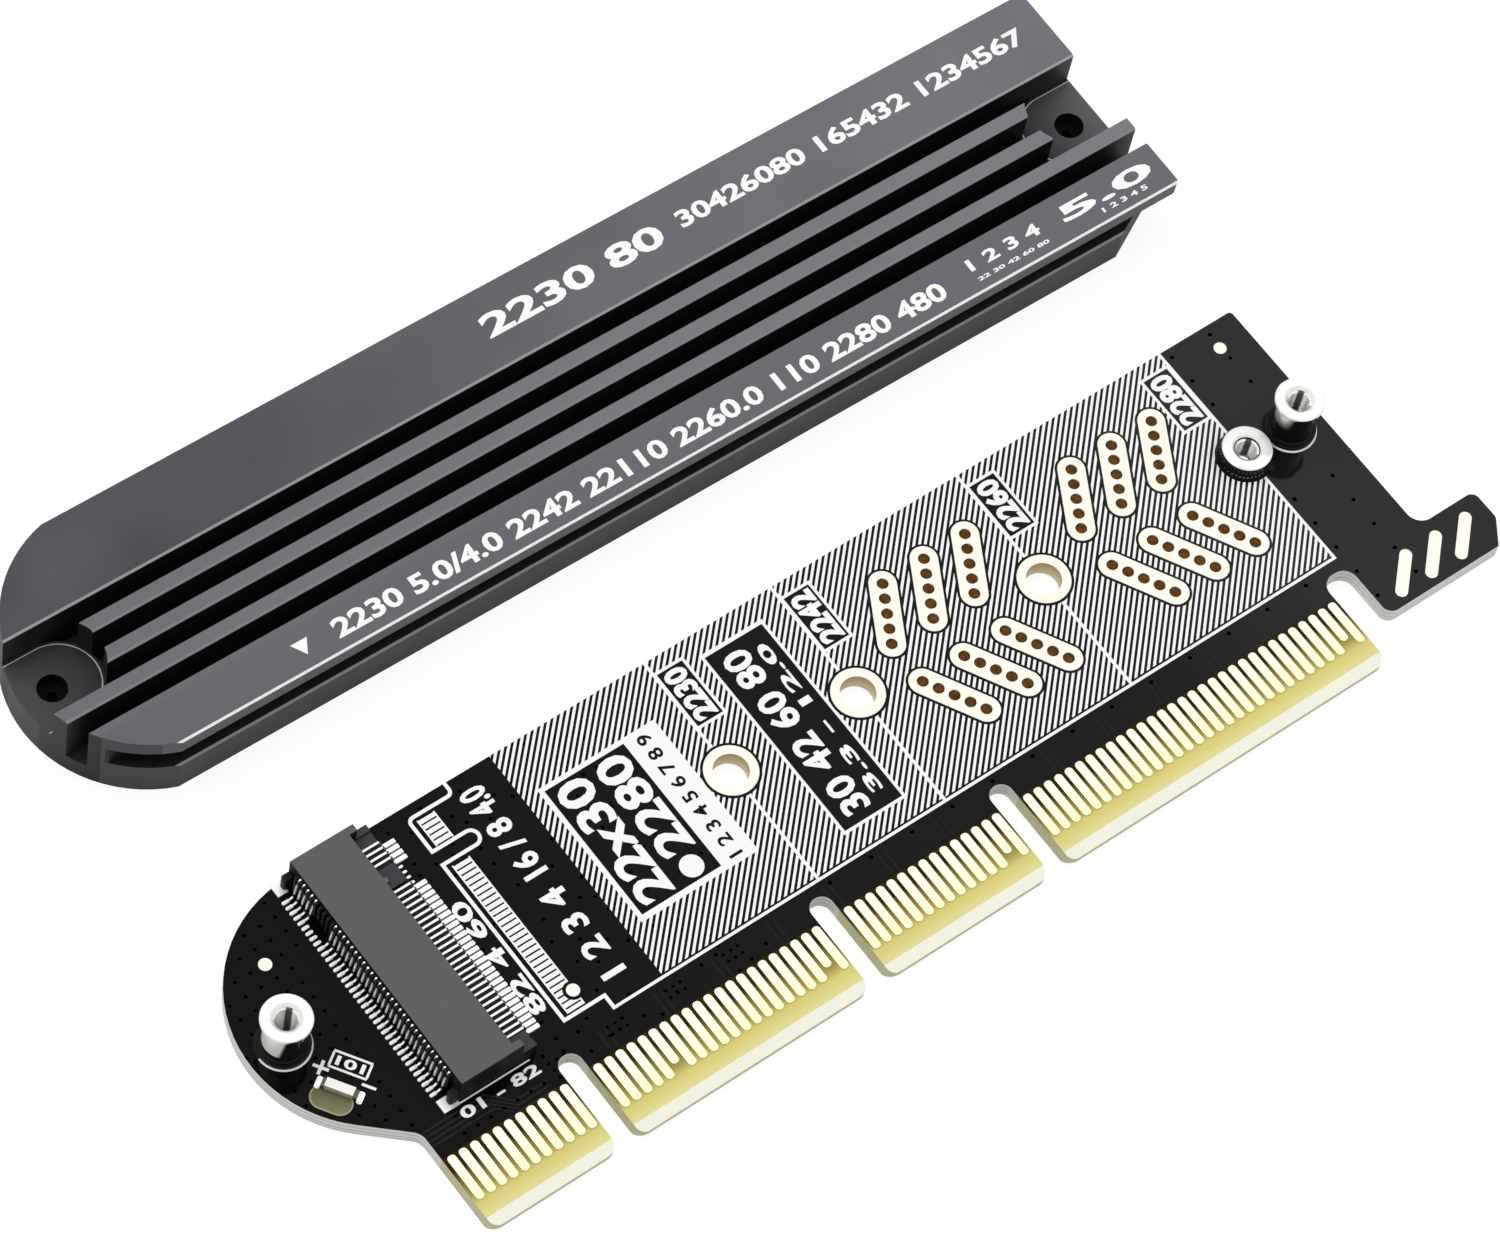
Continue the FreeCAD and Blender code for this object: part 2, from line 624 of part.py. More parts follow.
def make_nut():
    body = new_body("module_screw_nut", x="nut_place")
    top = f"({CARD_TOP} + nut_height)"
    revolve(body, "nut", [
        ("thread_radius", "0"),
        ("spigot_radius", "0"),
        ("spigot_radius", CARD_TOP),
        ("nut_radius", CARD_TOP),
        ("nut_radius", top),
        ("mouth_radius", top),
        ("thread_radius", f"{top} - mouth_radius + thread_radius"),
    ])


def make_light():
    body = new_body("light_body", x="light_x", y="light_y", z=CARD_TOP, turn="-light_angle")
    outline = new_sketch(body, "light_outline")
    draw_box(outline, "-light_length / 2", "light_length / 2", "-light_width / 2",
             "light_width / 2")
    add_pad(body, outline, "light_block", "light_height")
    body = new_body("light_terminals", x="light_x", y="light_y", z=CARD_TOP,
                    turn="-light_angle")
    outline = new_sketch(body, "terminal_outline")
    for inner, outer in (("-light_length / 2", "-light_length / 2 - terminal_length"),
                         ("light_length / 2", "light_length / 2 + terminal_length")):
        left, right = sorted((inner, outer), key=amount_of)
        draw_box(outline, left, right, "-light_width / 2", "light_width / 2")
    add_pad(body, outline, "terminals", "terminal_height")


# ---- Heat spreader ----

def draw_landings(sketch):
    """The two round-ended areas that run out of the spreader's ends, between the slab and
    the front fin."""
    middle = "(slab_front - groove_width / 2 - groove_pitch)"
    for side in ("-", ""):
        draw_stadium(sketch, (f"{side}landing_end", middle),
                     (f"{side}(landing_end + spreader_right)", middle), "landing_radius")


def make_spreader():
    body = new_body("heat_spreader", x="spreader_x", y="spreader_y", turn="-spreader_turn")
    beyond = "(2 * spreader_right)"
    blank = new_sketch(body, "blank_outline")
    draw_box(blank, f"-{beyond}", beyond, "-spreader_front - 1", "spreader_back + 1")
    add_pad(body, blank, "blank", "spreader_height")

    grooves = new_sketch(body, "groove_outlines", height="spreader_height")
    for number in range(SIZES["groove_count"]):
        high = f"(slab_front - {number} * groove_pitch)"
        draw_box(grooves, f"-{beyond}", beyond, f"{high} - groove_width", high)
    add_pocket(body, grooves, "grooves", "groove_depth")

    raised = new_sketch(body, "landing_outlines")
    draw_landings(raised)
    add_pad(body, raised, "landing_metal", "landing_height")
    lowered = new_sketch(body, "landing_tops", height="spreader_height")
    draw_landings(lowered)
    add_pocket(body, lowered, "landings", "spreader_height - landing_height")

    side = new_sketch(body, "side_slot_section", "YZ_Plane")
    draw_box(side, "-spreader_front - 2", "side_slot_depth - spreader_front",
             "side_slot_low", "side_slot_high")
    add_pocket(body, side, "side_slot")

    slant = new_sketch(body, "corner_cut_outline", height="side_slot_low")
    draw_outline(slant, [
        ("corner_cut_start", "-spreader_front"),
        ("corner_cut_start", "-spreader_front - 2"),
        (beyond, "-spreader_front - 2"),
        (beyond, f"({beyond} - corner_cut_start) * corner_cut_slope - spreader_front"),
    ])
    add_pocket(body, slant, "corner_cut", "side_slot_low")

    around = new_sketch(body, "waste_outline")
    draw_box(around, f"-2 * {beyond}", f"2 * {beyond}", f"-{beyond}", beyond)
    back_foot = "sqrt(spreader_round_radius ^ 2 - spreader_back ^ 2)"
    front_foot = "sqrt(spreader_round_radius ^ 2 - spreader_front ^ 2)"
    draw_outline(around, [
        (f"-spreader_round_centre - {back_foot}", "spreader_back"),
        (f"-spreader_round_centre - {front_foot}", "-spreader_front"),
        ("spreader_right", "-spreader_front"),
        ("spreader_right", "spreader_back"),
    ], {0: "spreader_round_radius"})
    add_pocket(body, around, "waste")

    holes = new_sketch(body, "screw_hole_circles")
    for hand in ("-", ""):
        draw_circle(holes, (f"{hand}screw_spacing / 2", "0"), "spreader_hole_radius")
    feature = add_pocket(body, holes, "screw_holes")
    feature = round_corners(body, feature, "shelf_end",
                            [("spreader_right", "-spreader_front")], "shelf_corner")
    lines = [("-spreader_front", "spreader_height"), ("-spreader_front", "side_slot_low"),
             ("slab_front", "spreader_height")]
    for number in range(1, SIZES["groove_count"]):
        lines.append((f"(slab_front - {number} * groove_pitch)", "spreader_height"))
    doc.recompute()
    chamfer = body.newObject("PartDesign::Chamfer", "front_edges")
    chamfer.Base = (feature, long_edges(feature, lines))
    bind(chamfer, "Size", "edge_chamfer")


# ---- Build, check and export ----

make_board()
make_edge_contacts("front", BOARD_TOP)
make_edge_contacts("back", "0")
make_hole_pads()
make_thermal_pads()
make_bars()
make_targets()
make_connector_housing()
make_connector_leads()
make_holders()
make_standoffs()
make_nut()
make_light()
make_spreader()
doc.recompute()

for item in doc.Objects:
    if {"Invalid", "Error"} & set(item.State):
        raise RuntimeError(f"{item.Name}: {item.State}")
os.makedirs("parts", exist_ok=True)
for body in nodes:
    if not body.Shape.isValid():
        raise RuntimeError(f"{body.Label} is not a valid shape")
    body.Shape.exportStep(f"parts/{body.Label}.step")
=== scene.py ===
"""The look of an expansion card that carries a storage module, and of the heat spreader that lies
beside it. Card pieces use the card's own millimetres: X from the first tab's left side, Y from
the line of screw holes. Spreader pieces use millimetres from the middle between its two holes."""
import json
import logging
import math
from collections.abc import Callable, Iterator
from contextlib import contextmanager
from dataclasses import dataclass, field, replace
from enum import Enum

import bpy
from bpy.types import Material, NodeSocket, Object, World
from mathutils import Matrix, Vector

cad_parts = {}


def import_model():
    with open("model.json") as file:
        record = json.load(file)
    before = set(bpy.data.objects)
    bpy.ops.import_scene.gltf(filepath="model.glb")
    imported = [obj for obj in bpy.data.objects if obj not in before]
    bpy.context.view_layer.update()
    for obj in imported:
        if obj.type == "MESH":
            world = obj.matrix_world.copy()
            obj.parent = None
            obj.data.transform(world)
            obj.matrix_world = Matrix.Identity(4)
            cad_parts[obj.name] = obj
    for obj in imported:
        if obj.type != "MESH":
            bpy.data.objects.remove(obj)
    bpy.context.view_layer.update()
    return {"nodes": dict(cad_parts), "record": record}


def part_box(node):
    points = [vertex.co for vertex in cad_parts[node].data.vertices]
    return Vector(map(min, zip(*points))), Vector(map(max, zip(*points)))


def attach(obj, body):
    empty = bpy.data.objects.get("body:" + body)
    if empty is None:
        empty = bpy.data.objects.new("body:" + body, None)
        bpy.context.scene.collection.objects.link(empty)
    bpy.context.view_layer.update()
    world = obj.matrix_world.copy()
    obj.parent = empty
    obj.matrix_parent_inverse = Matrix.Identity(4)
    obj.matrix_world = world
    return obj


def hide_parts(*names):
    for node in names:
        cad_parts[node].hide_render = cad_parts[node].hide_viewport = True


LOG = logging.getLogger("adapter_card")
MM = 0.001
SAME_PLACE = 1e-7
LIGHT_SLANT = 56.3


class Turn(Enum):
    """Which way a line of print reads."""

    ALONG = 0.0
    UPWARD = 90.0
    SLANTED = -LIGHT_SLANT


def linear(code: str) -> tuple[float, float, float, float]:
    """Turn a screen colour into the renderer's light values.

    Args:
        code: six hexadecimal digits.

    Returns:
        Red, green, blue and full opacity.
    """
    parts = [int(code[place:place + 2], 16) / 255 for place in (0, 2, 4)]
    light = [part / 12.92 if part < 0.04045 else ((part + 0.055) / 1.055) ** 2.4
             for part in parts]
    return (*light, 1.0)


# ---- Shader wiring ----

class Wire:
    """A value socket that takes part in Python sums, each adding its Math node."""

    def __init__(self, graph: "Graph", socket: NodeSocket) -> None:
        """Keep the socket and the graph it belongs to."""
        self.graph = graph
        self.socket = socket

    def __add__(self, other: "Wire | float") -> "Wire":
        """Sum."""
        return self.graph.maths("ADD", self, other)

    def __sub__(self, other: "Wire | float") -> "Wire":
        """Difference."""
        return self.graph.maths("SUBTRACT", self, other)

    def __rsub__(self, other: float) -> "Wire":
        """Difference from a number."""
        return self.graph.maths("SUBTRACT", other, self)

    def __mul__(self, other: "Wire | float") -> "Wire":
        """Product."""
        return self.graph.maths("MULTIPLY", self, other)

    def __truediv__(self, other: "Wire | float") -> "Wire":
        """Quotient."""
        return self.graph.maths("DIVIDE", self, other)

    __radd__ = __add__
    __rmul__ = __mul__

    def __abs__(self) -> "Wire":
        """Size without sign."""
        return self.graph.maths("ABSOLUTE", self)

    def above(self, limit: "Wire | float") -> "Wire":
        """1 where the value is over the limit, else 0."""
        return self.graph.maths("GREATER_THAN", self, limit)

    def below(self, limit: "Wire | float") -> "Wire":
        """1 where the value is under the limit, else 0."""
        return self.graph.maths("LESS_THAN", self, limit)

    def near(self, middle: float, reach: float) -> "Wire":
        """1 within reach of a middle value, else 0."""
        return self.graph.maths("COMPARE", self, middle, reach)

    def within(self, low: float, high: float) -> "Wire":
        """1 between two values, else 0."""
        return self.near((low + high) / 2, (high - low) / 2)

    def highest(self, other: "Wire | float") -> "Wire":
        """The larger of two values."""
        return self.graph.maths("MAXIMUM", self, other)

    def lowest(self, other: "Wire | float") -> "Wire":
        """The smaller of two values."""
        return self.graph.maths("MINIMUM", self, other)

    def ramp(self, low: float, high: float) -> "Wire":
        """0 at low, 1 at high and even between."""
        return self.graph.node("ShaderNodeMapRange", {"clamp": True},
                               {"Value": self, "From Min": low, "From Max": high})


class Graph:
    """The node tree of a material or of the world, built from expressions.

    A colour is given as a wire, as four light values or as six hexadecimal digits.
    """

    def __init__(self, name: str, world: World | None = None) -> None:
        """Start a new material's nodes, or those of a world.

        Args:
            name: the material's name.
            world: the world, where it is one.
        """
        self.material = world or bpy.data.materials.new(name)
        self.material.use_nodes = True
        self.tree = self.material.node_tree
        self.shader = self.tree.nodes["Background" if world else "Principled BSDF"]

    def feed(self, socket: NodeSocket, value: "Wire | float | tuple | str") -> None:
        """Fill one socket.

        Args:
            socket: the socket.
            value: a wire, a number, a vector or a colour.
        """
        if isinstance(value, Wire):
            self.tree.links.new(value.socket, socket)
        else:
            socket.default_value = linear(value) if isinstance(value, str) else value

    def node(self, kind: str, settings: dict, values: dict, out: int | str = 0) -> Wire:
        """Add any node.

        Args:
            kind: the node's type name.
            settings: its own settings, made first.
            values: numbers, colours or wires for its sockets, by name or place.
            out: the output that is wanted.

        Returns:
            A wire from that output.
        """
        made = self.tree.nodes.new(kind)
        for key, value in settings.items():
            setattr(made, key, value)
        for key, value in values.items():
            self.feed(made.inputs[key], value)
        return Wire(self, made.outputs[out])

    def maths(self, operation: str, *values: "Wire | float") -> Wire:
        """One Math node.

        Args:
            operation: the node's operation.
            values: its inputs in order.

        Returns:
            The result.
        """
        return self.node("ShaderNodeMath", {"operation": operation}, dict(enumerate(values)))

    def paint(self, base: "Wire | str", *coats: "tuple[Wire | float, Wire | str]") -> Wire:
        """Lay colours over one another.

        Args:
            base: the lowest colour.
            coats: how much covers and with which colour, from the lowest up.

        Returns:
            The colour that shows.
        """
        for amount, colour in coats:
            base = self.node("ShaderNodeMix", {"data_type": "RGBA"},
                             {0: amount, 6: base, 7: colour}, 2)
        return base

    def split(self, vector: Wire) -> tuple[Wire, Wire, Wire]:
        """A vector's X, Y and Z."""
        return tuple(self.node("ShaderNodeSeparateXYZ", {}, {0: vector}, axis)
                     for axis in range(3))

    def place(self, origin: Vector, turn: float = 0.0) -> tuple[Wire, Wire, Wire]:
        """Millimetres from an origin on the object.

        Args:
            origin: the origin in metres.
            turn: how far the wanted axes are turned about Z, in radians.

        Returns:
            X, Y and Z.
        """
        coordinates = self.node("ShaderNodeTexCoord", {}, {}, "Object")
        mapped = self.node("ShaderNodeMapping", {"vector_type": "TEXTURE"}, {
            "Vector": coordinates, "Location": origin, "Rotation": (0, 0, turn),
            "Scale": (MM, MM, MM)})
        return self.split(mapped)

    def facing(self) -> tuple[Wire, Wire, Wire]:
        """The surface's direction as X, Y and Z."""
        return self.split(self.node("ShaderNodeNewGeometry", {}, {}, "Normal"))

    def noise(self, size: float, detail: float = 3.0, stretch: tuple = (1, 1, 1)) -> Wire:
        """Noise in object space.

        Args:
            size: how many blotches there are in a metre.
            detail: how fine it goes.
            stretch: a factor for each axis.

        Returns:
            A value about 0.5.
        """
        coordinates = self.node("ShaderNodeTexCoord", {}, {}, "Object")
        mapped = self.node("ShaderNodeMapping", {}, {"Vector": coordinates, "Scale": stretch})
        return self.node("ShaderNodeTexNoise", {}, {"Vector": mapped, "Scale": size,
                                                    "Detail": detail})

    def put(self, **values: "Wire | float | tuple | str") -> None:
        """Set the shader's sockets; an underscore stands for a space.

        Args:
            values: numbers, colours or wires by socket name.
        """
        for key, value in values.items():
            self.feed(self.shader.inputs[key.replace("_", " ")], value)

    def relief(self, height: Wire, depth: float) -> None:
        """Bump the surface.

        Args:
            height: the height as a value from 0 to 1.
            depth: what 1 stands for, in millimetres.
        """
        self.put(Normal=self.node("ShaderNodeBump", {}, {
            "Height": height, "Distance": depth * MM, "Strength": 1.0}))

    def finish(self, colour: "Wire | str", grain: Wire, rough: tuple[float, float],
               depth: float, **values: "Wire | float") -> Material:
        """Set what a grained surface has.

        Args:
            colour: its colour.
            grain: noise that the roughness and the relief follow.
            rough: the roughness at 0, and what 1 adds to it.
            depth: of the relief, in millimetres.
            values: its other sockets by name.

        Returns:
            The material.
        """
        self.put(Base_Color=colour, Roughness=grain * rough[1] + rough[0], **values)
        self.relief(grain, depth)
        return self.material


# ---- Frames ----

@dataclass(frozen=True)
class Bench:
    """Where millimetres of one piece's own drawing lie in the frame."""

    origin: Vector
    turn: float = 0.0

    def at(self, x: float, y: float, z: float = 0.0) -> Vector:
        """A point in metres.

        Args:
            x: millimetres along.
            y: millimetres across.
            z: millimetres above the surface under the parts.

        Returns:
            The point in the frame.
        """
        return self.origin + Matrix.Rotation(self.turn, 3, "Z") @ Vector((x, y, z)) * MM


def card_bench() -> Bench:
    """The card's frame, from its round end and its far edge."""
    low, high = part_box("circuit_board")
    return Bench(Vector((low[0] + 7.1 * MM, high[1] - 10.9 * MM, 0)))


def spreader_bench(record: dict) -> Bench:
    """The spreader's frame, from its two screw holes.

    Args:
        record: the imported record.

    Returns:
        The frame.
    """
    holes = {mount["name"]: Vector(mount["pos_m"]) for mount in record["mounts"]}
    left, right = holes["left_spreader_hole"], holes["right_spreader_hole"]
    along = right - left
    middle = (left + right) / 2
    return Bench(Vector((middle.x, middle.y, 0)), math.atan2(along.y, along.x))


# ---- Finishes ----

def squares(over: Wire, up: Wire) -> Wire:
    """The sum of two squares."""
    return over * over + up * up


@dataclass(frozen=True)
class Spot:
    """A place on a surface, in the millimetres of the piece's own drawing."""

    graph: Graph
    x: Wire
    y: Wire
    z: Wire

    @classmethod
    def on(cls, graph: Graph, bench: Bench) -> "Spot":
        """The place that a material works on, measured on a bench."""
        return cls(graph, *graph.place(bench.origin, bench.turn))

    def away(self, x: float, y: float) -> Wire:
        """The squared distance from an upright line."""
        return squares(self.x - x, self.y - y)


@dataclass(frozen=True)
class Panel:
    """A rectangle on the card, in millimetres. As print it is painted white or left dark."""

    left: float
    right: float
    low: float
    high: float
    white: bool = True

    def mask(self, spot: Spot) -> Wire:
        """1 inside the rectangle, 0 outside it."""
        return spot.x.within(self.left, self.right) * spot.y.within(self.low, self.high)


@dataclass(frozen=True)
class Arc:
    """A printed quarter or half circle, in millimetres."""

    x: float
    y: float
    radius: float
    aside: int
    upward: int = 0
    stroke: float = 0.3

    def mask(self, spot: Spot) -> Wire:
        """1 on the stroke, 0 off it.

        Args:
            spot: the place.

        Returns:
            The mask.
        """
        ring = spot.graph.maths("SQRT", spot.away(self.x, self.y))
        ring = ring.near(self.radius, self.stroke / 2)
        ring = ring * ((spot.x - self.x) * self.aside).above(0.0)
        return ring * ((spot.y - self.y) * self.upward).above(0.0) if self.upward else ring


@dataclass(frozen=True)
class Dots:
    """Round dots in a row, a column or a lattice, in millimetres."""

    x: float
    y: float
    radius: float
    step_x: float = 0.0
    step_y: float = 0.0

    def mask(self, spot: Spot) -> Wire:
        """1 on a dot, 0 off it.

        Args:
            spot: the place.

        Returns:
            The mask.
        """
        over, up = (spot.graph.maths("WRAP", way, step / 2, -step / 2) if step else way
                    for way, step in ((spot.x - self.x, self.step_x),
                                      (spot.y - self.y, self.step_y)))
        return squares(over, up).below(self.radius ** 2)


HATCH = Panel(22.0, 86.55, -10.6, 11.5)
HOLES = (36.39, 48.39, 66.39, 86.39)
TARGETS = ((-1.62, 5.97), (15.81, -8.09), (90.99, 8.69))
LENGTHS = {"2230": 36.3, "2242": 48.3, "2260": 66.3, "2280": 83.65}

BOXES = (
    # lower border of the hatched field, its right end, and the line at each module length
    Panel(17.6, 86.55, -11.0, -10.76),
    Panel(86.43, 86.68, -11.0, 11.0),
    *(Panel(x - 0.13, x + 0.13, -10.8, 11.0) for x in (36.35, 48.33, 66.35)),
    # labels beside the screw holes
    *(panel for left in LENGTHS.values() for panel in (
        Panel(left, left + 2.85, 4.1, 9.8),
        Panel(left + 0.25, left + 2.6, 4.35, 9.55, False))),
    # the wide label
    Panel(23.3, 34.1, -6.45, 6.65),
    Panel(23.7, 31.0, -5.95, 6.25, False),
    # the tall label
    Panel(40.2, 46.1, -9.0, 9.1),
    Panel(40.45, 45.85, -8.75, 8.75, False),
    # outline of a module's end, with its notch
    Panel(17.75, 18.05, 10.3, 11.0),
    Panel(14.3, 17.45, 9.7, 10.0),
    Panel(13.7, 14.0, 6.6, 9.4),
    Panel(13.7, 16.9, 6.6, 6.9),
    Panel(13.7, 16.9, 5.3, 5.6),
    Panel(13.7, 14.0, -9.85, 5.6),
    Panel(13.7, 17.5, -9.85, -9.55),
    Panel(17.35, 17.65, -11.0, -9.55),
    # line in front of the socket's end
    Panel(3.6, 9.9, -10.9, -10.77),
)
ARCS = (Arc(14.3, 9.4, 0.45, -1, 1), Arc(16.9, 6.1, 0.65, 1), Arc(17.45, 10.3, 0.45, 1, -1))
# the module's own contacts: boxes of bars inside a rim
FINGERS = (Panel(14.35, 15.95, 6.95, 9.45), Panel(14.35, 15.95, -9.4, 5.0))
FINGER_STEP, FINGER_SHIFT, FINGER_GAP, FINGER_RIM = 0.5, 0.2, 0.27, 0.12

# small filled holes under the mask, with the zone that each kind keeps to
LOW_ROW, LOW_ROW_ZONE = Dots(36.9, -11.55, 0.17, step_x=3.85), (36.0, 84.0)
END_MIDDLE, END_COLUMNS, END_FREE = 89.2, Dots(1.93, 10.1, 0.17, step_y=2.54), (-4.2, 4.2)
BUNDLES, BUNDLE_STEP = Dots(1.63, 0.0, 0.13, 0.66, 0.66), 5.2
BUNDLE_START, BUNDLE_REACH, BUNDLE_ZONE = 1.3, 0.99, Panel(9.0, 31.0, -12.88, -11.52)
LATTICE, LATTICE_ZONE = Dots(-0.17, 6.01, 0.14, 1.36, 1.36), (-9.6, 1.6)
LATTICE_WHOLE, LATTICE_NORTH = 0.5, 5.0
SHOULDER_ROW, SHOULDER_ZONE = Dots(2.58, -12.95, 0.14, step_x=1.18), (1.9, 9.9)
SCATTER_ZONE, SCATTER_RADIUS, SCATTER_LEFT_OUT = (10.5, 34.5), 0.095, 0.3


@dataclass(frozen=True)
class SolderMask:
    """Near-black mask over the laminate, with its white print and bare zones."""

    bench: Bench
    white: str = "fcfcfc"
    black: str = "000000"
    dark_left: str = "090a08"
    dark_right: str = "1a1c1a"
    # painted reflection: the mask is darker towards the far end, standing for the dark post
    # mirrored there
    dark_far_reflection: str = "161715"
    trace: str = "232526"
    laminate: str = "dacf78"
    bevel: str = "ffffee"
    edge: str = "c8c8c4"
    stripe_step: float = 0.6095
    pad_place: tuple[float, float] = (53.1, 1.93)
    pad_step: float = 4.0
    pad_group_step: float = 18.5
    pad_group_end: float = 13.25
    pad_slant: float = math.radians(60)
    pad_half: float = 2.61
    pad_gap: float = 1.31
    ring_gap: float = 2.34
    target_gap: float = 0.78
    far_target_gap: float = 1.0
    face: float = 0.9
    bare_zone: Panel = Panel(-0.4, 84.4, -99.0, -13.72)
    trace_step: float = 0.42
    trace_share: float = 0.3
    trace_bend: tuple[float, float] = (5.5, 1.6)
    trace_zone: tuple[float, float] = (-12.74, -11.06)
    pair_zone: Panel = Panel(13.0, 83.0, -13.6, -11.6)
    pair_share: float = 0.6
    window_place: tuple[float, float] = (-3.85, -5.5)
    window_half: float = 0.65
    window_rim: float = 0.76
    window_halo: float = 1.35
    layer_step: float = 0.52
    tabs: tuple[float, float] = (84.6, -13.7)
    lining: Panel = Panel(34.4, 68.4, -1.6, 1.6)
    rough: float = 0.62
    laminate_shine: float = 0.15
    coat: tuple[float, float] = (0.17, 0.43)
    coat_rough: float = 0.08

    def pad_distance(self, spot: Spot) -> Wire:
        """How far a place lies from the centre line of the nearest slanting pad, squared.

        Args:
            spot: the place.

        Returns:
            The squared distance, in square millimetres.
        """
        sine, cotangent = math.sin(self.pad_slant), 1 / math.tan(self.pad_slant)
        side = abs(spot.y) - self.pad_place[1]
        slid = spot.x - side * cotangent - self.pad_place[0]
        within = slid - slid.above(self.pad_group_end) * self.pad_group_step
        number = spot.graph.maths("ROUND", within / self.pad_step).highest(0.0).lowest(2.0)
        aside = (within - number * self.pad_step) * sine
        along = side / sine + aside * cotangent
        return squares(aside, (abs(along - self.pad_half) - self.pad_half).highest(0.0))

    def print_mask(self, spot: Spot) -> Wire:
        """1 on the white print, 0 off it.

        Args:
            spot: the place.

        Returns:
            The mask.
        """
        maths = spot.graph.maths
        ink = maths("FRACT", (spot.x - spot.y) / self.stripe_step).below(0.5)
        ink = ink * HATCH.mask(spot)
        for panel in BOXES:
            inside = panel.mask(spot)
            ink = ink.highest(inside) if panel.white else ink * (1 - inside)
        for arc in ARCS:
            ink = ink.highest(arc.mask(spot))
        bars = maths("FRACT", spot.y / FINGER_STEP + FINGER_SHIFT).above(FINGER_GAP)
        for box in FINGERS:
            inside = replace(box, left=box.left + FINGER_RIM, right=box.right - FINGER_RIM)
            ink = ink.highest(box.mask(spot) * bars.highest(1 - inside.mask(spot)))
        ink = ink * self.pad_distance(spot).above(self.pad_gap ** 2)
        for hole in HOLES:
            ink = ink * spot.away(hole, 0.0).above(self.ring_gap ** 2)
        return ink * spot.away(*TARGETS[1]).above(self.target_gap ** 2)

    def scatter(self, spot: Spot) -> Wire:
        """1 on loosely scattered dots round the socket's front, 0 off them.

        Args:
            spot: the place.

        Returns:
            The mask.
        """
        graph = spot.graph
        place = graph.node("ShaderNodeCombineXYZ", {}, {0: spot.x, 1: spot.y})
        spread, shade = (
            graph.node("ShaderNodeTexVoronoi", {"voronoi_dimensions": "2D"},
                       {"Vector": place, "Scale": 0.62, "Randomness": 0.9}, out)
            for out in ("Distance", "Color"))
        chosen = graph.node("ShaderNodeSeparateXYZ", {}, {0: shade}).above(SCATTER_LEFT_OUT)
        return spread.below(SCATTER_RADIUS) * chosen * spot.x.within(*SCATTER_ZONE)

    def dots(self, spot: Spot) -> Wire:
        """1 on the small filled holes, 0 off them.

        Args:
            spot: the place.

        Returns:
            The mask.
        """
        x, y = spot.x, spot.y
        ends = END_COLUMNS.mask(replace(spot, x=abs(x - END_MIDDLE)))
        bundle = abs(spot.graph.maths("WRAP", x - BUNDLE_START, BUNDLE_STEP / 2,
                                      -BUNDLE_STEP / 2)).below(BUNDLE_REACH)
        lattice = LATTICE.mask(spot) * x.within(*LATTICE_ZONE)
        lattice = lattice * x.below(LATTICE_WHOLE).highest(y.above(LATTICE_NORTH))
        found = self.scatter(spot)
        for kind in (LOW_ROW.mask(spot) * x.within(*LOW_ROW_ZONE),
                     ends * (1 - y.within(*END_FREE)),
                     BUNDLES.mask(spot) * bundle * BUNDLE_ZONE.mask(spot),
                     lattice * spot.away(*TARGETS[0]).above(self.far_target_gap ** 2),
                     SHOULDER_ROW.mask(spot) * x.within(*SHOULDER_ZONE)):
            found = found.highest(kind)
        return found

    def traces(self, spot: Spot) -> Wire:
        """Tracks that show faintly through the mask, between the socket and the contacts.

        Args:
            spot: the place.

        Returns:
            The mask.
        """
        x, maths = spot.x, spot.graph.maths
        bent = spot.y + (x - self.trace_bend[0]).highest(0.0).lowest(self.trace_bend[1])
        left = maths("FRACT", bent / self.trace_step).below(self.trace_share)
        left = left * bent.within(*self.trace_zone) * x.within(0.0, 10.0)
        pairs = abs(maths("WRAP", x, BUNDLE_STEP / 2, -BUNDLE_STEP / 2)).within(0.24, 0.36)
        return left.highest(pairs * self.pair_zone.mask(spot) * self.pair_share)

    def window(self, spot: Spot) -> Wire:
        """The squared distance from the middle line of the light's bare window.

        It is 1 on the window's outline.

        Args:
            spot: the place.

        Returns:
            The squared distance.
        """
        slant = math.radians(LIGHT_SLANT)
        away, across = spot.x - self.window_place[0], spot.y - self.window_place[1]
        along = away * math.cos(slant) - across * math.sin(slant)
        aside = away * math.sin(slant) + across * math.cos(slant)
        return squares((abs(along) - self.window_half).highest(0.0), aside)

    def faces(self, spot: Spot, up: Wire) -> tuple[Wire, Wire, Wire]:
        """The flat faces' colour.

        Args:
            spot: the place.
            up: how far the surface looks up.

        Returns:
            The colour, where the laminate is bare, and where the mask shines.
        """
        graph, x, y = spot.graph, spot.x, spot.y
        dots, ink = self.dots(spot), self.print_mask(spot) * up.above(self.face)
        # towards the far end the mask is painted darker, a painted reflection of the dark post
        mask = graph.paint(self.dark_left,
                           ((x + graph.noise(90) * 12).ramp(10, 90), self.dark_right),
                           (x.ramp(72, 90), self.dark_far_reflection),
                           (self.traces(spot), self.trace), (dots, self.black))
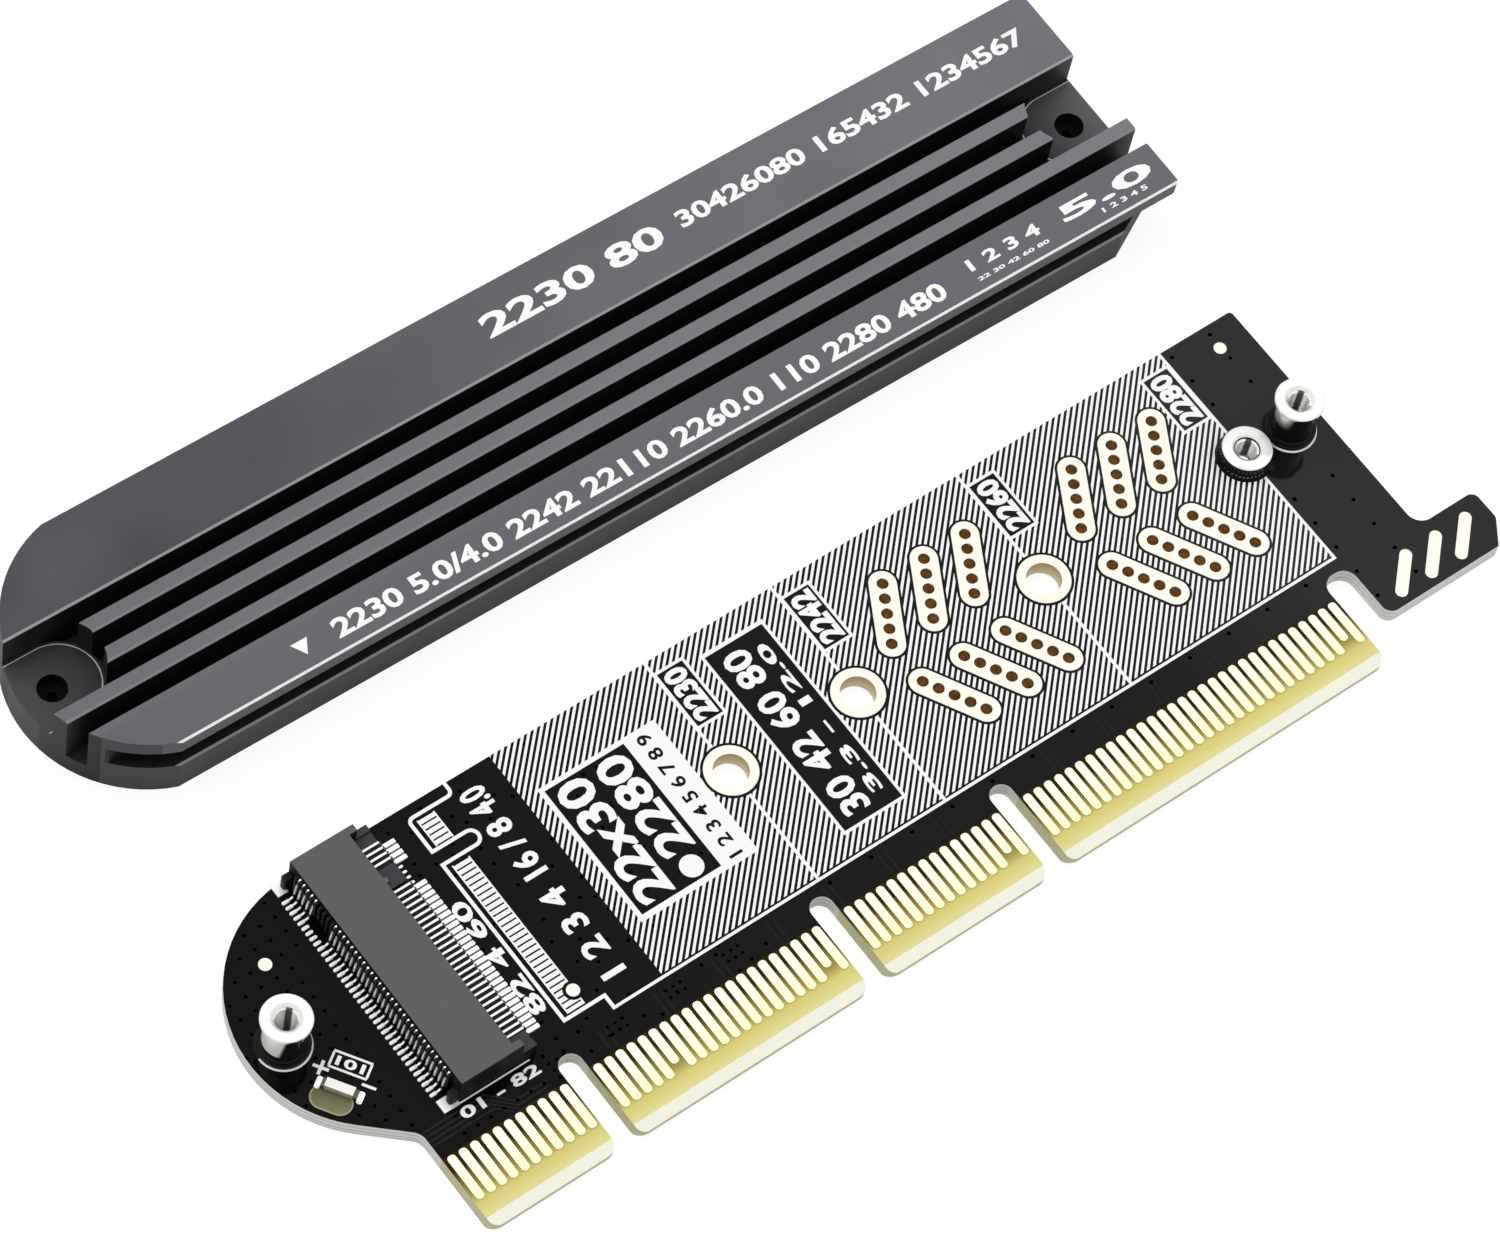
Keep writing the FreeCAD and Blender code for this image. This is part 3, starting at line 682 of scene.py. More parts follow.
        # bare laminate with painted shade, near-black between the contacts and darker just below
        # their ends, and paler towards the bevel as a painted glow
        laminate_with_shade = graph.paint(self.laminate, (graph.noise(2500, 2) * 0.5, "e2d88c"),
                           (y.ramp(-18.15, -19.3), "ebe19f"), (y.ramp(-18.0, -17.2), "ab9c52"),
                           (y.ramp(-17.2, -15.0), "33290c"))
        bare = self.bare_zone.mask(spot)
        outline = self.window(spot)
        glow = graph.paint("8a8864", ((x + y).ramp(-11.5, -8.5), "66664a"),
                           (outline.within(self.window_rim, 1.0) * 0.55, "b4b696"))
        colour = graph.paint(mask, (ink, self.white), (bare, laminate_with_shade),
                             (outline.below(self.window_halo) * up.above(self.face), self.black),
                             (outline.below(1.0) * up.above(self.face), glow))
        return colour, bare, (1 - ink) * (1 - dots) * (1 - bare)

    def sides(self, spot: Spot) -> Wire:
        """The cut sides' colour: pale layers, warmer at the tabs and inside the holes.

        Args:
            spot: the place.

        Returns:
            The colour.
        """
        graph, z = spot.graph, spot.z
        layers = graph.maths("FRACT", z / self.layer_step + graph.noise(700) * 0.15)
        tabs = spot.x.below(self.tabs[0]) * spot.y.below(self.tabs[1])
        lining = graph.paint("f0e9d0", (z.ramp(0.2, 1.4), "cbb98c"))
        return graph.paint(self.edge, (layers.ramp(0.2, 0.5), "e6e6e2"), (tabs, "cfceac"),
                           (self.lining.mask(spot), lining))

    def make(self) -> Material:
        """Build the material.

        Returns:
            The material.
        """
        graph = Graph("solder_mask_and_print")
        spot = Spot.on(graph, self.bench)
        up = graph.facing()[2]
        flat, bare, gloss = self.faces(spot, up)
        colour = graph.paint(flat, (abs(up).within(0.15, 0.95), self.bevel),
                             (abs(up).below(0.15), self.sides(spot)))
        graph.relief(graph.noise(1400, 2) * 0.3 + (1 - gloss) * 0.7, 0.006)
        coat = spot.x.ramp(70, 88) * self.coat[1] + self.coat[0]
        graph.put(Base_Color=colour, Roughness=self.rough - bare * self.laminate_shine,
                  Specular_IOR_Level=0.0, Coat_Weight=gloss * coat,
                  Coat_Roughness=self.coat_rough)
        return graph.material


@dataclass(frozen=True)
class Plated:
    """A thin metal plating with fine grain and a little tarnish."""

    name: str
    colour: str
    tint: str
    rough: float
    metal: float = 0.85
    grain: float = 3000.0

    def make(self) -> Material:
        """Build the material.

        Returns:
            The material.
        """
        graph = Graph(self.name)
        return graph.finish(graph.paint(self.colour, (graph.noise(400, 2), self.tint)),
                            graph.noise(self.grain, 2), (self.rough - 0.06, 0.12), 0.002,
                            Metallic=self.metal)


@dataclass(frozen=True)
class FingerGold:
    """Pale gold of the edge contacts, warmer towards the card's edge."""

    bench: Bench

    def make(self) -> Material:
        """Build the material.

        Returns:
            The material.
        """
        graph = Graph("finger_gold")
        spot = Spot.on(graph, self.bench)
        # the contacts' side faces are painted dark brown as painted shade
        colour = graph.paint("faf2c0", (spot.y.ramp(-17.8, -14.9), "fffcec"),
                             (graph.noise(1200, 2) * 0.35, "fbf4d2"),
                             (graph.facing()[2].within(-0.5, 0.5), "76632a"))
        graph.put(Base_Color=colour, Metallic=graph.noise(300, 2) * 0.1 + 0.1,
                  Roughness=graph.noise(3500, 2) * 0.12 + 0.3)
        graph.relief(graph.noise(2600, 2), 0.003)
        return graph.material


@dataclass(frozen=True)
class SocketPlastic:
    """Black moulded plastic. Its roof, end ears, key block, peg and sloping faces are painted
    grey as painted sheen.
    """

    bench: Bench
    # greys for up-facing faces: painted sheen on the black plastic
    top: str = "606061"
    lip: str = "131415"
    block: str = "3c3e42"
    peg: str = "74767c"
    side: str = "08080a"
    end: tuple[float, float] = (7.0, 9.15)
    block_top: float = 3.35
    peg_top: float = 3.7
    height_error: float = 0.03
    roof: float = 4.4

    def make(self) -> Material:
        """Build the material.

        Returns:
            The material.
        """
        graph = Graph("socket_plastic")
        spot, up, fine = Spot.on(graph, self.bench), graph.facing()[2], graph.noise(2200, 3)
        # painted sheen: up-facing faces are painted grey by height and place
        flat = graph.paint(self.lip, (spot.x.above(self.end[0])
                                      * abs(spot.y).above(self.end[1]), self.block),
                           (spot.z.near(self.block_top, self.height_error), self.block),
                           (spot.z.near(self.peg_top, self.height_error), self.peg),
                           (spot.z.above(self.roof), self.top))
        # painted sheen: sloping faces are painted grey
        colour = graph.paint(self.side, (up.ramp(0.2, 0.7), "3a3a3b"),
                             (up.ramp(0.8, 0.95), flat), (fine * 0.16, "2b2b2b"))
        return graph.finish(colour, fine, (0.5, 0.1), 0.005, Specular_IOR_Level=0.12)


@dataclass(frozen=True)
class BentLead:
    """Tin plate on the socket's leads, dark where they drop out of the light."""

    bench: Bench
    rear_end: float = 3.62
    low_dip: tuple[float, float] = (1.98, 2.26)
    high_dip: tuple[float, float] = (3.46, 3.78)
    front_bend: tuple[float, float] = (10.49, 10.83)

    def make(self) -> Material:
        """Build the material.

        Returns:
            The material.
        """
        graph = Graph("bent_lead_tin")
        spot, fine = Spot.on(graph, self.bench), graph.noise(3000, 2)
        dips = spot.z.within(*self.low_dip).highest(spot.z.within(*self.high_dip))
        shade = (spot.x.below(self.rear_end) * dips).highest(
            spot.x.within(*self.front_bend))
        colour = graph.paint("ffffff", (shade, "101010"), (fine * 0.1, "bcbcb8"))
        return graph.finish(colour, fine, (0.25, 0.12), 0.002, Metallic=0.3)


@dataclass(frozen=True)
class TurnedNickel:
    """Bright nickel on turned parts, with painted reflections: pale tops and chamfers high up,
    dark sides with a broad pale stripe and a thin one, a dark flange, dark low tops and one pale
    side on the foot's solder.
    """

    dark: str = "1d1e1a"
    bright: str = "fdfdfb"
    post_foot: float = 2.7
    tilt_from: float = 5.0
    left_widening: float = 0.22
    thin_way: tuple[float, float] = (0.26, -0.966)
    flange_rim: tuple[float, float] = (1.7, 2.2)
    solder_top: float = 1.72

    def make(self) -> Material:
        """Build the material.

        Returns:
            The material.
        """
        graph = Graph("turned_nickel")
        x, _, z = graph.place(Vector())
        across, along, up = graph.facing()
        left_post, high = x.below(0.0), z.above(self.post_foot)
        # painted reflections: dark sides with a broad pale stripe and a thin one, set by the
        # surface's direction and height
        reflection_streak = (z - self.tilt_from) * 0.07 - across + left_post * self.left_widening
        reflection_streak = reflection_streak.ramp(0.76, 0.88) * z.ramp(3.7, 5.3).highest(left_post * high)
        thin = across * self.thin_way[0] + along * self.thin_way[1]
        thin = thin + (z - self.tilt_from) * 0.02
        light = reflection_streak.highest(thin.ramp(0.985, 0.995) * z.ramp(3.9, 4.8))
        # painted highlight on one side of the foot's solder, and the flange's side painted dark
        # as a painted reflection
        fillet = z.below(self.solder_top) * (across - along).above(-0.6)
        side = graph.paint(self.dark, (light, "f4f3ec"),
                           (z.within(*self.flange_rim) * 0.85, "1c1c1a"), (fillet, "f0f0ee"))
        # painted reflections: up-facing faces pale above the post's foot and dark below it,
        # chamfers above it pale
        colour = graph.paint(side, (up.above(0.93), graph.paint("1a1a18", (high, self.bright))),
                             (up.within(0.52, 0.92) * high, "f8f8f5"))
        return graph.finish(colour, graph.noise(900, 2, (1, 1, 14)), (0.12, 0.12), 0.003,
                            Metallic=light * (left_post * -0.3 + 0.25) + 0.2,
                            Specular_IOR_Level=0.1)


@dataclass(frozen=True)
class ThreadNickel:
    """Bright nickel inside a threaded bore, with a dark band that runs down it as a painted
    reflection.
    """

    band_way: tuple[float, float] = (-0.75, -0.66)
    band_share: float = 0.89

    def make(self) -> Material:
        """Build the material.

        Returns:
            The material.
        """
        graph = Graph("thread_nickel")
        _, _, z = graph.place(Vector())
        across, along, _ = graph.facing()
        # compared with the level part only, so that the thread's slopes leave it straight
        toward = across * self.band_way[0] + along * self.band_way[1]
        band = (toward * toward - squares(across, along) * self.band_share).ramp(0.0, 0.03)
        band, fine = band * toward.above(0.0), graph.noise(2000, 2)
        # painted reflection: the dark band down the bore
        colour = graph.paint("fdfdfa", (band * 0.9, "1b1b18"), (fine * 0.05, "8f8f8a"))
        graph.put(Base_Color=colour, Metallic=band * -0.5 + 0.7, Roughness=fine * 0.1 + 0.1,
                  Specular_IOR_Level=0.1)
        graph.relief(z * 0.2 + fine, 0.003)
        return graph.material


@dataclass(frozen=True)
class ViaFill:
    """Brown plugs in the pads' holes: painted shade that stands for the dark inside of the
    through holes.
    """

    def make(self) -> Material:
        """Build the material.

        Returns:
            The material.
        """
        graph = Graph("via_shade_fill")
        fine = graph.noise(2500, 3)
        brown = graph.paint("4a2c0c", (fine.ramp(0.3, 0.7), "6e4818"))
        # painted shade: the plugs' edges are near-black
        colour = graph.paint("120a03", (graph.facing()[2].ramp(0.6, 0.95), brown))
        return graph.finish(colour, fine, (0.45, 0.2), 0.02, Specular_IOR_Level=0.05)


@dataclass(frozen=True)
class Anodised:
    """Dark grey anodised aluminium, blasted fine, with painted shade in its grooves, side slot
    and holes, and painted highlights on its front chamfers.
    """

    bench: Bench
    left: str = "373539"
    right: str = "747278"
    shelf: str = "626065"
    side: str = "37383b"
    # painted shade: near-black for the grooves, the side slot and the holes
    groove_shade: str = "060607"
    # painted highlight: white on the shelf's front chamfer
    chamfer_highlight: str = "ffffff"
    landing: str = "565559"
    landing_end: float = 46.9
    landing_aside: float = 0.18
    rim_aside: float = 3.22
    hole_place: float = 47.56
    hole_radius: float = 1.3
    fins_from: float = 3.0
    top_from: float = 6.0
    side_slot: tuple[float, float] = (3.4, 5.46)
    slot_depth: tuple[float, float] = (-10.15, -7.05)

    def tops(self, spot: Spot) -> Wire:
        """The colour of the faces that look up.

        Args:
            spot: the place.

        Returns:
            The colour.
        """
        graph, x, y, z = spot.graph, spot.x, spot.y, spot.z
        plain = graph.paint(self.left,
                            ((x * 0.012 + graph.noise(60, 2)).ramp(-0.1, 1.1), self.right),
                            (y.within(-6.5, 3.5) * 0.6, "7b797e"),
                            (y.below(-6.0) * 0.85, self.shelf))
        ring = graph.maths("SQRT", squares((self.landing_end - abs(x)).highest(0.0),
                                           y - self.landing_aside))
        end = graph.paint("3a3a3e", (x.above(0.0), self.landing))
        # painted shadow: the landing is near-black near the fins and beyond the pocket's rim,
        # lighter towards the end, with a pale rim line as a painted highlight
        landing = graph.paint("0f0f10", (abs(x).ramp(44.0, 50.5), end),
                              (ring.above(self.rim_aside), "101011"),
                              (ring.near(self.rim_aside, 0.04), "c9c9cb"))
        # painted shade: up-facing faces low in the grooves are near-black
        return graph.paint(self.groove_shade, (z.above(self.fins_from), landing),
                           (z.above(self.top_from), plain))

    def walls(self, spot: Spot) -> Wire:
        """The colour of the upright faces.

        Args:
            spot: the place.

        Returns:
            The colour.
        """
        graph, x, y, z = spot.graph, spot.x, spot.y, spot.z
        # painted shade: the fins' side walls are near-black, lighter towards the ends
        depth = graph.paint(self.groove_shade, (abs(x).ramp(47.5, 50.2), "28282a"))
        # painted shade: the side slot and the holes' walls are near-black
        slot = z.within(*self.side_slot) * y.within(*self.slot_depth)
        bore = squares(abs(x) - self.hole_place, y).below(self.hole_radius ** 2)
        return graph.paint(self.side, (graph.noise(80, 2), "444548"),
                           (z.above(5.4) * y.below(-9.6), "5d5c61"),
                           (y.within(-6.8, 3.8) * abs(x).below(50.0), depth),
                           (slot.highest(bore), self.groove_shade))

    def make(self) -> Material:
        """Build the material.

        Returns:
            The material.
        """
        graph = Graph("anodised_aluminium")
        spot, fine = Spot.on(graph, self.bench), graph.noise(5200, 2)
        _, across, up = graph.facing()
        # painted highlights: the front chamfers are pale, lightest on the shelf's front edge
        cut = (up - across).above(1.25)
        edge = graph.paint("8f8e93", (spot.y.above(2.0), "a9a8ac"),
                           (spot.y.below(-9.0) * spot.z.above(self.top_from), self.chamfer_highlight))
        colour = graph.paint(self.walls(spot), (up.above(0.9), self.tops(spot)),
                             (fine * 0.2, "454348"), (cut, edge))
        graph.put(Base_Color=colour, Metallic=0.2 - cut * 0.2, Roughness=0.5 - cut * 0.2,
                  Specular_IOR_Level=0.3)
        graph.relief(fine, 0.006)
        return graph.material


@dataclass(frozen=True)
class Ink:
    """A flat colour with a faint grain."""

    name: str = "white_ink"
    colour: str = "fdfdfd"
    grain: str = "dcdcdc"

    def make(self) -> Material:
        """Build the material.

        Returns:
            The material.
        """
        graph = Graph(self.name)
        fine = graph.noise(3000, 2)
        return graph.finish(graph.paint(self.colour, (fine * 0.1, self.grain)), fine,
                            (0.5, 0.2), 0.002, Specular_IOR_Level=0.05)


@dataclass(frozen=True)
class LightResin:
    """Cloudy clear resin of the small side light."""

    def make(self) -> Material:
        """Build the material.

        Returns:
            The material.
        """
        graph = Graph("light_resin")
        fine = graph.noise(2500, 2)
        colour = graph.paint("b9baa0", (graph.facing()[2].ramp(0.5, 0.9), "fcfcf8"),
                             (fine * 0.2, "c9c9b4"))
        graph.put(Base_Color=colour, Roughness=fine * 0.1 + 0.25, Coat_Weight=0.4)
        return graph.material


# ---- Modelling helpers ----

def select(*pieces: Object) -> None:
    """Select these pieces and nothing else, so that the next operator acts on them only.

    Args:
        pieces: the objects, the first of which becomes the active one.
    """
    if bpy.context.mode != "OBJECT":
        bpy.ops.object.mode_set(mode="OBJECT")
    bpy.ops.object.select_all(action="DESELECT")
    for piece in pieces:
        piece.select_set(True)
    if pieces:
        bpy.context.view_layer.objects.active = pieces[0]


def settle(piece: Object) -> None:
    """Bake an object's place, turn and scale into its mesh."""
    select(piece)
    bpy.ops.object.transform_apply(location=True, rotation=True, scale=True)


def set_down(piece: Object, place: Vector | tuple, turn: float = 0.0) -> None:
    """Turn a piece about its origin, move it and settle it.

    Args:
        piece: the object.
        place: where its origin goes, in metres.
        turn: about Z, in radians.
    """
    piece.rotation_euler.z = turn
    piece.location = place
    settle(piece)


def coat(piece: Object, material: Material) -> None:
    """Give a piece one finish in place of any it has."""
    piece.data.materials.clear()
    piece.data.materials.append(material)


def apply_modifier(piece: Object, kind: str, **settings: object) -> None:
    """Add a modifier and apply it.

    Args:
        piece: the object to change.
        kind: the modifier's type.
        settings: its settings by name.
    """
    select(piece)
    modifier = piece.modifiers.new(kind.title(), kind)
    for key, value in settings.items():
        setattr(modifier, key, value)
    bpy.ops.object.modifier_apply(modifier=modifier.name)


@contextmanager
def editing(piece: Object, wanted: Callable[[Vector], bool] | None = None
            ) -> Iterator[None]:
    """Edit a piece, with all or some of its vertices selected.

    Args:
        piece: the object.
        wanted: says whether the vertex at a place is selected. All are without it.

    Returns:
        A context that leaves edit mode at its end.
    """
    select(piece)
    bpy.ops.object.mode_set(mode="EDIT")
    bpy.ops.mesh.select_mode(type="VERT")
    bpy.ops.mesh.select_all(action="DESELECT" if wanted else "SELECT")
    if wanted:
        bpy.ops.object.mode_set(mode="OBJECT")
        for vertex in piece.data.vertices:
            vertex.select = wanted(vertex.co)
        bpy.ops.object.mode_set(mode="EDIT")
    yield
    bpy.ops.object.mode_set(mode="OBJECT")


def face_outward() -> None:
    """Turn the edited mesh's faces outward."""
    bpy.ops.mesh.select_all(action="SELECT")
    bpy.ops.mesh.normals_make_consistent(inside=False)


def slab(size: tuple[float, float, float], radius: float, segments: int) -> Object:
    """A flat plate about the origin with rounded upright edges.

    Args:
        size: length, width and thickness in metres.
        radius: of its corners, in metres.
        segments: steps in each corner.

    Returns:
        The plate.
    """
    select()
    bpy.ops.mesh.primitive_cube_add(size=1)
    plate = bpy.context.object
    plate.scale = size
    settle(plate)
    bpy.ops.object.mode_set(mode="EDIT")
    bpy.ops.mesh.select_mode(type="EDGE")
    bpy.ops.mesh.select_all(action="DESELECT")
    bpy.ops.object.mode_set(mode="OBJECT")
    for edge in plate.data.edges:
        first, second = (plate.data.vertices[index].co for index in edge.vertices)
        edge.select = (first - second).xy.length < SAME_PLACE
    bpy.ops.object.mode_set(mode="EDIT")
    bpy.ops.mesh.bevel(offset=radius, segments=segments, affect="EDGES")
    bpy.ops.object.mode_set(mode="OBJECT")
    return plate


def cylinder(place: Vector, radius: float, depth: float, corners: int, turn: float = 0.0
             ) -> Object:
    """An upright cylinder or prism.

    Args:
        place: its middle in metres.
        radius: in millimetres.
        depth: its height in metres.
        corners: of its outline.
        turn: in radians.

    Returns:
        The cylinder.
    """
    select()
    bpy.ops.mesh.primitive_cylinder_add(vertices=corners, radius=radius * MM, depth=depth,
                                        location=place, rotation=(0, 0, turn))
    piece = bpy.context.object
    settle(piece)
    return piece


def chain(points: list[Vector], closed: bool = False) -> Object:
    """Draw a line of edges.

    Args:
        points: its corners in metres.
        closed: whether the last joins the first.

    Returns:
        The line, in object mode.
    """
    select()
    bpy.ops.mesh.primitive_plane_add(size=MM)
    line = bpy.context.object
    with editing(line):
        bpy.ops.mesh.merge(type="CENTER")
        bpy.ops.transform.translate(value=points[0])
        for before, after in zip(points, points[1:]):
            bpy.ops.mesh.extrude_vertices_move(
                TRANSFORM_OT_translate={"value": after - before})
    if closed:
        with editing(line, lambda place: min((place - end).length for end in
                                             (points[0], points[-1])) < SAME_PLACE / 10):
            bpy.ops.mesh.edge_face_add()
    return line


def ribbon(path: list[tuple[float, float]], width: float, thickness: float) -> Object:
    """Bend a flat strip of metal in the XZ plane.

    Args:
        path: its middle line as X and Z, in millimetres.
        width: across Y, in millimetres.
        thickness: in millimetres.

    Returns:
        The strip.
    """
    strip = chain([Vector((x, -width / 2, z)) * MM for x, z in path])
    with editing(strip):
        bpy.ops.mesh.extrude_edges_move(TRANSFORM_OT_translate={"value": (0, width * MM, 0)})
        face_outward()
    apply_modifier(strip, "SOLIDIFY", thickness=thickness * MM, offset=0)
    return strip


def turned(profile: list[tuple[float, float]], steps: int) -> Object:
    """Spin a closed half section about Z.

    Args:
        profile: distances from the axis and heights, in millimetres.
        steps: sides of the round.

    Returns:
        The turned piece at the origin.
    """
    piece = chain([Vector((radius, 0, height)) * MM for radius, height in profile], True)
    with editing(piece):
        bpy.ops.mesh.spin(steps=steps, angle=2 * math.pi, center=(0, 0, 0), axis=(0, 0, 1))
        bpy.ops.mesh.select_all(action="SELECT")
        bpy.ops.mesh.remove_doubles(threshold=SAME_PLACE)
        face_outward()
    return piece


def soften(piece: Object, degrees: float = 40.0) -> None:
    """Shade smooth across shallow edges only."""
    select(piece)
    bpy.ops.object.shade_smooth_by_angle(angle=math.radians(degrees))


def join(pieces: list[Object]) -> Object:
    """Join pieces into the first of them.

    Args:
        pieces: the pieces.

    Returns:
        The joined piece.
    """
    select(*pieces)
    bpy.ops.object.join()
    return pieces[0]


def copy_of(piece: Object) -> Object:
    """A copy with its own mesh.

    Args:
        piece: the piece.

    Returns:
        The copy.
    """
    double = piece.copy()
    double.data = piece.data.copy()
    bpy.context.collection.objects.link(double)
    return double


def hand_over(piece: Object, name: str, material: Material, slot: str, *nodes: str) -> None:
    """Name a finished piece, dress it and fix it to the part.

    Args:
        piece: the object, with its place in its mesh.
        name: its name.
        material: its finish.
        slot: the record's slot for it; not used.
        nodes: nodes that it stands for.
    """
    piece.name = name
    coat(piece, material)
    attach(piece, "root")
    if nodes:
        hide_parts(*nodes)
    LOG.info("%s has %d faces", name, len(piece.data.polygons))


@dataclass
class Studio:
    """Floor, lights and camera."""

    camera_place: Vector = field(default_factory=lambda: Vector((-184.37, -160.8, 417.58)) * MM)
    aim: Vector = field(default_factory=lambda: Vector((-0.06, -1.04, 0.0)) * MM)
    roll: float = 13.87
    lens: float = 153.45
    sensor: float = 36.0
    sight: float = 10.0
    ambient: float = 0.44
    floor_size: float = 4.0
    floor_drop: float = 0.02
    floor_glow: float = 1.08
    glow_share: float = 0.8

    def camera(self) -> None:
        """Stand the camera high over the front left corner, rolled a little."""
        data = bpy.data.cameras.new("camera")
        data.lens = self.lens
        data.sensor_width = self.sensor
        data.clip_end = self.sight
        camera = bpy.data.objects.new("camera", data)
        bpy.context.collection.objects.link(camera)
        gaze = (self.aim - self.camera_place).to_track_quat("-Z", "Y").to_matrix()
        camera.matrix_world = (Matrix.Translation(self.camera_place)
                               @ (gaze @ Matrix.Rotation(math.radians(self.roll), 3, "Z")
                                  ).to_4x4())
        bpy.context.scene.camera = camera

    def lamp(self, name: str, place: tuple, size: float, power: float) -> None:
        """An area lamp that faces the middle.

        Args:
            name: its name.
            place: where it hangs, in metres.
            size: its side in metres.
            power: in watts.
        """
        data = bpy.data.lights.new(name, "AREA")
        data.shape = "SQUARE"
        data.size = size
        data.energy = power
        lamp = bpy.data.objects.new(name, data)
        lamp.location = place
        lamp.rotation_euler = (-Vector(place)).to_track_quat("-Z", "Y").to_euler()
        bpy.context.collection.objects.link(lamp)

    def world(self) -> None:
        """Soft light all round, white to the camera and to reflections."""
        world = bpy.data.worlds.new("world")
        bpy.context.scene.world = world
        graph = Graph("world", world)
        seen, mirrored = (graph.node("ShaderNodeLightPath", {}, {}, f"Is {kind} Ray")
                          for kind in ("Camera", "Glossy"))
        graph.put(Color=(1, 1, 1, 1), Strength=graph.node("ShaderNodeMapRange", {}, {
            "Value": seen.highest(mirrored), "To Min": self.ambient, "To Max": 1.0}))

    def floor(self) -> None:
        """A wide pale floor that the camera sees nearly white."""
        select()
        bpy.ops.mesh.primitive_plane_add(size=self.floor_size,
                                         location=(0, 0, -self.floor_drop * MM))
        floor = bpy.context.object
        floor.name = "floor"
        graph = Graph("floor_white")
        graph.put(Base_Color=(0.92, 0.92, 0.92, 1), Roughness=0.9, Specular_IOR_Level=0.0)
        seen = graph.node("ShaderNodeLightPath", {}, {}, "Is Camera Ray")
        mixed = graph.node("ShaderNodeMixShader", {}, {
            0: seen * self.glow_share, 1: Wire(graph, graph.shader.outputs[0]),
            2: graph.node("ShaderNodeEmission", {}, {"Strength": self.floor_glow})})
        graph.feed(graph.tree.nodes["Material Output"].inputs["Surface"], mixed)
        floor.data.materials.append(graph.material)

    def build(self) -> None:
        """Set the whole stage."""
        bpy.context.scene.view_settings.view_transform = "Standard"
        self.camera()
        self.world()
        self.lamp("key", place=(-0.25, 0.35, 0.9), size=0.7, power=4.4)
        self.lamp("fill", place=(0.5, -0.2, 0.8), size=0.8, power=2.7)
        self.floor()


# ---- Sub-assemblies ----

@dataclass
class EdgeContacts:
    """The rounded gold contacts of each tab, on both faces."""

    gold: Material
    width: float = 0.7
    pitch: float = 1.0
    rounding: float = 0.3
    short_by: float = 0.8
    short: dict = field(default_factory=lambda: {
        "front_contacts_2": (5, 19), "front_contacts_3": (13,), "front_contacts_4": (29,),
        "back_contacts_1": (0,)})

    def row(self, node: str) -> Object:
        """Model one tab's contacts.

        Args:
            node: the node that they stand for.

        Returns:
            The row as one object.
        """
        low, high = map(Vector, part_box(node))
        count = round((high.x - low.x - self.width * MM) / (self.pitch * MM)) + 1
        size = (self.width * MM, high.y - low.y, high.z - low.z)
        contact = slab(size, self.rounding * MM, 4)
        middle = (low + high) / 2
        set_down(contact, (low.x + self.width * MM / 2, middle.y, middle.z))
        apply_modifier(contact, "ARRAY", count=count, use_relative_offset=False,
                       use_constant_offset=True,
                       constant_offset_displace=(self.pitch * MM, 0, 0))
        for place in self.short.get(node, ()):
            centre = low.x + (self.width / 2 + place * self.pitch) * MM
            self.shorten(contact, centre, middle.y)
        return contact

    def shorten(self, row: Object, centre: float, middle: float) -> None:
        """Draw the lower end of one contact up.

        Args:
            row: the row of contacts.
            centre: the contact's place along X, in metres.
            middle: half way along the contacts, in metres.
        """
        with editing(row, lambda place: abs(place.x - centre) < self.pitch * MM / 2
                     and place.y < middle):
            bpy.ops.transform.translate(value=(0, self.short_by * MM, 0))

    def build(self) -> None:
        """Make all eight rows."""
        for face in ("front", "back"):
            for tab in range(1, 5):
                node = f"{face}_contacts_{tab}"
                hand_over(self.row(node), f"{node}_rounded", self.gold, "gold_plating", node)


